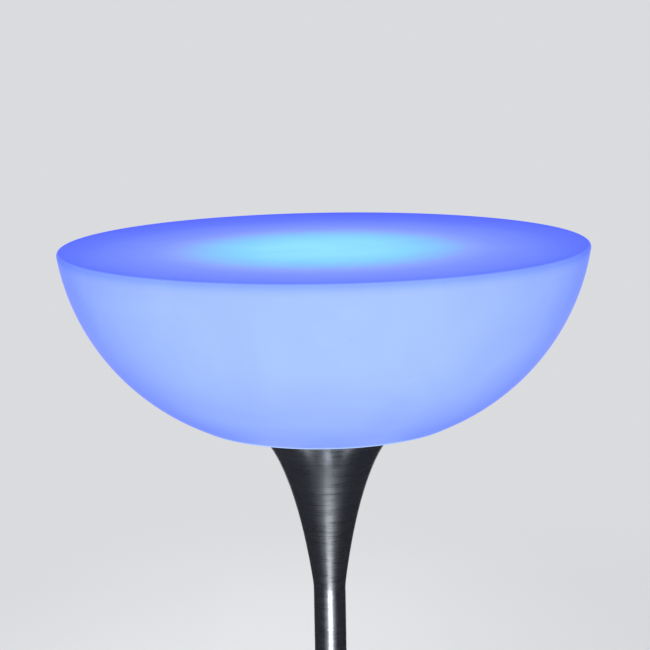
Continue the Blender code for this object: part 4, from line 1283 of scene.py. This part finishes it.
class BARTABLE_OT_socket(Operator):
    """Make the charging socket, its pin and its flap"""

    bl_idname = "bartable.socket"
    bl_label = "Make the socket"

    def execute(self, context):
        nose = [(3.0, PANEL_LOW + 0.6), (3.3, PANEL_LOW + 0.3), (4.5, PANEL_LOW + 0.3)]
        nose += [(4.8, PANEL_LOW + 0.6), (4.8, PANEL_SEAT + 0.5), (3.0, PANEL_SEAT + 0.5)]
        block = pillow_mesh("jack_block", (7, 7), 0.8, PANEL_SEAT, TRAY_TOP, 0.3)
        bore = peg(0, 0, 3.0, PANEL_SEAT - 1, TRAY_TOP - 3.2, 48)
        shape = bmesh.new()
        shape.from_mesh(spun_mesh("jack_nose", nose, 48))
        shape.from_mesh(combined(block, "DIFFERENCE", [bore]))
        mesh = mesh_from("jack_body", shape)
        at = (SOCKET_X, PANEL_Y, 0)
        piece("jack_body", mesh, "table", "panel_plastic", ["charge_socket"], at)
        low = PANEL_LOW + 2.7
        pin = [(0, low), (0.5, low + 0.1), (0.85, low + 0.4), (1, low + 0.9)]
        pin += [(1, TRAY_TOP), (0, TRAY_TOP)]
        turned("jack_pin", pin, 24, "zinc_steel", "charge_pin", at=at)

        near, far = 0.15, 18.2
        half = (8.5, (far - near) / 2)
        mesh = pillow_mesh("jack_flap", half, 2.5, 0, 1.6, 0.5, (0, (near + far) / 2))
        grips = [brick(0, y, 4.6, 0.35, -1, 0.35) for y in (13.4, 14.9, 16.4)]
        mesh = combined(mesh, "DIFFERENCE", grips)
        mesh = combined(mesh, "UNION", [peg(0, PANEL_Y - HINGE_Y, 2.3, 1.1, 3.0)])
        at = (SOCKET_X, HINGE_Y, HINGE_Z)
        piece("jack_flap", mesh, "cover", "silicone", ["socket_cover"], at)
        centre = (SOCKET_X, HINGE_Y - 2.65)
        mesh = pillow_mesh("flap_anchor", (5, 2.5), 1, HINGE_Z, HINGE_Z + 1.6, 0.35, centre)
        stalk = peg(SOCKET_X, ANCHOR_Y, 1.2, HINGE_Z + 1.1, PANEL_SEAT + 0.5)
        head = peg(SOCKET_X, ANCHOR_Y, 1.9, PANEL_SEAT, PANEL_SEAT + 1)
        mesh = combined(mesh, "UNION", [stalk, head])
        piece("flap_anchor", mesh, "table", "silicone", ["cover_anchor"])
        return {"FINISHED"}


class BARTABLE_OT_inner_parts(Operator):
    """Give every CAD piece that is still shown its finish"""

    bl_idname = "bartable.inner_parts"
    bl_label = "Finish the inner parts"

    def execute(self, context):
        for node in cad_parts.values():
            if node.hide_render:
                continue
            for slot in node.material_slots:
                name = slot.material.name.split(".")[0]
                if name not in FINISHES:
                    raise RuntimeError(f"{node.name} has no finish for {name}")
                slot.material = FINISHES[name]
        return {"FINISHED"}


class BARTABLE_OT_studio(Operator):
    """Make the floor, the lamps, the world and the camera"""

    bl_idname = "bartable.studio"
    bl_label = "Make the studio"

    def execute(self, context):
        scene = context.scene
        settings = scene.table_studio
        floor = add_object("studio_floor", floor_mesh())
        floor.data.materials.append(floor_finish(tuple(settings.floor)))
        scale = settings.lamps
        lamp("overhead_lamp", (-0.7, -0.6, 3.6), (0, 0.3, 0.4), (3.0, 3.0), 74.0 * scale)
        low_lamps = [
            lamp("front_lamp", (0.12, -3.0, 0.62), (0, 0, 0.72), (1.7, 0.8), 12.0 * scale, 70),
            lamp("back_lamp", (-0.2, 3.0, 0.60), (0, 0, 0.70), (1.0, 0.6), 5.0 * scale, 80),
        ]
        keep_off(low_lamps, "bowl")
        set_dark_cards()
        set_world(scene)
        camera = add_object("studio_camera", bpy.data.cameras.new("studio_camera"))
        camera.data.sensor_width = 36.0
        camera.data.lens = settings.lens
        camera.data.clip_end = 100.0
        place = Matrix.Translation((0.0, -settings.distance, settings.height))
        look = Matrix.Rotation(math.radians(90) - settings.pitch, 4, "X")
        tilt = Matrix.Rotation(settings.roll, 4, "Z")
        camera.matrix_world = place @ look @ tilt
        scene.camera = camera
        scene.view_settings.view_transform = "Standard"
        return {"FINISHED"}


def floor_mesh():
    """A wide round floor with its edge far beyond every view.

    It is open under the foot, where the floor ring covers it, so that the foot's underside
    has light to be seen by from below.
    """
    shape = bmesh.new()
    turns = levels(0, math.tau, 128)[:-1]
    near, far = [
        add_ring(shape, [(r * math.cos(a), r * math.sin(a)) for a in turns])
        for r in (BASE_R - 6, FLOOR_R)
    ]
    bridge(shape, far, near)
    return mesh_from("studio_floor", shape)


def floor_finish(colour):
    """Plain pale paper.

    Far from the table it is seen as the backdrop's own colour, so that no horizon shows, and
    it is see-through from below.
    """
    made, work, shader = start_finish("Studio floor", specular_ior_level=0.2)
    place = work.place()
    work.feed(shader["Base Color"], work.shades(work.noise(place, 1.3, 3.0), colour, 0.99, 1.01))
    work.feed(shader["Roughness"], work.fit(work.noise(place, 40.0, 2.0), 0.2, 0.8, 0.72, 0.8))
    output = next(n for n in made.node_tree.nodes if n.type == "OUTPUT_MATERIAL")
    paper = output.inputs["Surface"].links[0].from_socket
    seen = seen_as_backdrop(work)
    backdrop = work.node("Emission", {"Color": (*BACKDROP, 1.0), "Strength": 1.0}).outputs[0]
    fade = work.times(work.fit(work.vector("LENGTH", place), *FLOOR_FADE), seen)
    mixed = work.node("MixShader", {0: fade, 1: paper, 2: backdrop}).outputs[0]
    clear = work.node("BsdfTransparent").outputs[0]
    under = work.times(work.node("NewGeometry").outputs["Backfacing"], seen)
    shown = work.node("MixShader", {0: under, 1: mixed, 2: clear}).outputs[0]
    work.feed(output.inputs["Surface"], shown)
    return made


def set_dark_cards():
    """Three dark cards that only reflections show, each given by its two long edges.

    One at each side, bent up from the floor, gives the round steel the dark sides that shape
    it. One on the floor in front lets the steel's streak fade towards the bowl.
    """
    bent = [(0.27, 0.002), (0.9, 0.002), (1.2, 0.06), (1.38, 0.25), (1.42, 0.6), (1.42, 3.4)]
    cards = {
        f"{name}_dark_card": [[(side * x, y, z) for x, z in bent] for y in (-1.7, 1.7)]
        for name, side in (("left", -1), ("right", 1))
    }
    cards["front_dark_card"] = [[(x, y, 0.002) for x in (-0.27, 0.27)] for y in (-1.15, -0.1)]
    made, work, shader = start_finish("Dark card", specular_ior_level=0.0)
    cloth = work.noise(work.place(), 300.0)
    work.feed(shader["Base Color"], work.blend(cloth, (0.03, 0.03, 0.034), (0.05, 0.05, 0.055)))
    for name, edges in cards.items():
        shape = bmesh.new()
        near, far = [[shape.verts.new(place) for place in edge] for edge in edges]
        for i in range(len(near) - 1):
            shape.faces.new([near[i], near[i + 1], far[i + 1], far[i]])
        card = add_object(name, mesh_from(name, shape))
        card.data.materials.append(made)
        for kind in ("camera", "diffuse", "transmission", "shadow", "volume_scatter"):
            setattr(card, "visible_" + kind, False)


def seen_as_backdrop(work):
    """1 on rays that show the backdrop: from the camera, off metal and through glass."""
    path = work.node("LightPath").outputs
    shown = work.maths("MAXIMUM", path["Is Camera Ray"], path["Is Glossy Ray"])
    return work.maths("MAXIMUM", shown, path["Is Transmission Ray"])


def lamp(name, place, target, size, power, spread=180):
    """A soft rectangular lamp that faces a point; spread is its beam in degrees."""
    data = bpy.data.lights.new(name, "AREA")
    data.shape = "RECTANGLE"
    data.size, data.size_y = size
    data.energy = power
    data.spread = math.radians(spread)
    item = add_object(name, data)
    item.location = place
    item.rotation_mode = "QUATERNION"
    item.rotation_quaternion = (Vector(target) - Vector(place)).to_track_quat("-Z", "Y")
    item.visible_camera = False
    return item


def keep_off(lamps, name):
    """Keep lamps off one piece, as a studio's flags do, so that its edge catches no glare."""
    flagged = bpy.data.collections.new(f"{name}_flagged")
    flagged.objects.link(bpy.data.objects[name])
    flagged.collection_objects[0].light_linking.link_state = "EXCLUDE"
    for item in lamps:
        item.light_linking.receiver_collection = flagged


def set_world(scene):
    """An even world: the pale backdrop where it shows, and a plain soft light elsewhere."""
    world = bpy.data.worlds.new("Studio")
    scene.world = world
    world.use_nodes = True
    work = Tree(world.node_tree)
    sky = work.blend(seen_as_backdrop(work), PLAIN_LIGHT, BACKDROP)
    work.node("OutputWorld", {"Surface": work.node("Background", {"Color": sky}).outputs[0]})


class BARTABLE_PT_panel(Panel):
    """Lists the table's settings and the operators that build it"""

    bl_idname = "BARTABLE_PT_panel"
    bl_label = "Light-up bar table"
    bl_space_type = "VIEW_3D"
    bl_region_type = "UI"
    bl_category = "Bar table"

    def draw(self, context):
        for name, (label, _) in SETTINGS.items():
            box = self.layout.box()
            box.label(text=label)
            settings = getattr(context.scene, name)
            for key in settings.bl_rna.properties.keys():
                if key not in ("rna_type", "name"):
                    box.prop(settings, key)
        for operator in OPERATORS:
            self.layout.operator(operator.bl_idname)


SETTINGS = {
    "table_bowl": ("Bowl", BowlSettings),
    "table_pedestal": ("Pedestal", PedestalSettings),
    "table_panel": ("Panel", PanelSettings),
    "table_studio": ("Studio", StudioSettings),
}
OPERATORS = (
    BARTABLE_OT_finishes,
    BARTABLE_OT_bowl,
    BARTABLE_OT_pedestal,
    BARTABLE_OT_foot,
    BARTABLE_OT_top_plate,
    BARTABLE_OT_light_unit,
    BARTABLE_OT_panel,
    BARTABLE_OT_button,
    BARTABLE_OT_socket,
    BARTABLE_OT_inner_parts,
    BARTABLE_OT_studio,
)
CLASSES = (*[group for _, group in SETTINGS.values()], *OPERATORS, BARTABLE_PT_panel)


def register():
    """Register every class and hang the settings on the scene."""
    for kind in CLASSES:
        bpy.utils.register_class(kind)
    for name, (_, group) in SETTINGS.items():
        setattr(bpy.types.Scene, name, PointerProperty(type=group))


def unregister():
    """Take the settings off the scene and unregister every class."""
    for name in SETTINGS:
        delattr(bpy.types.Scene, name)
    for kind in reversed(CLASSES):
        bpy.utils.unregister_class(kind)


def main():
    """Build the table and its studio."""
    register()
    for operator in OPERATORS:
        group, name = operator.bl_idname.split(".")
        getattr(getattr(bpy.ops, group), name)()


if __name__ == "__main__":
    main()
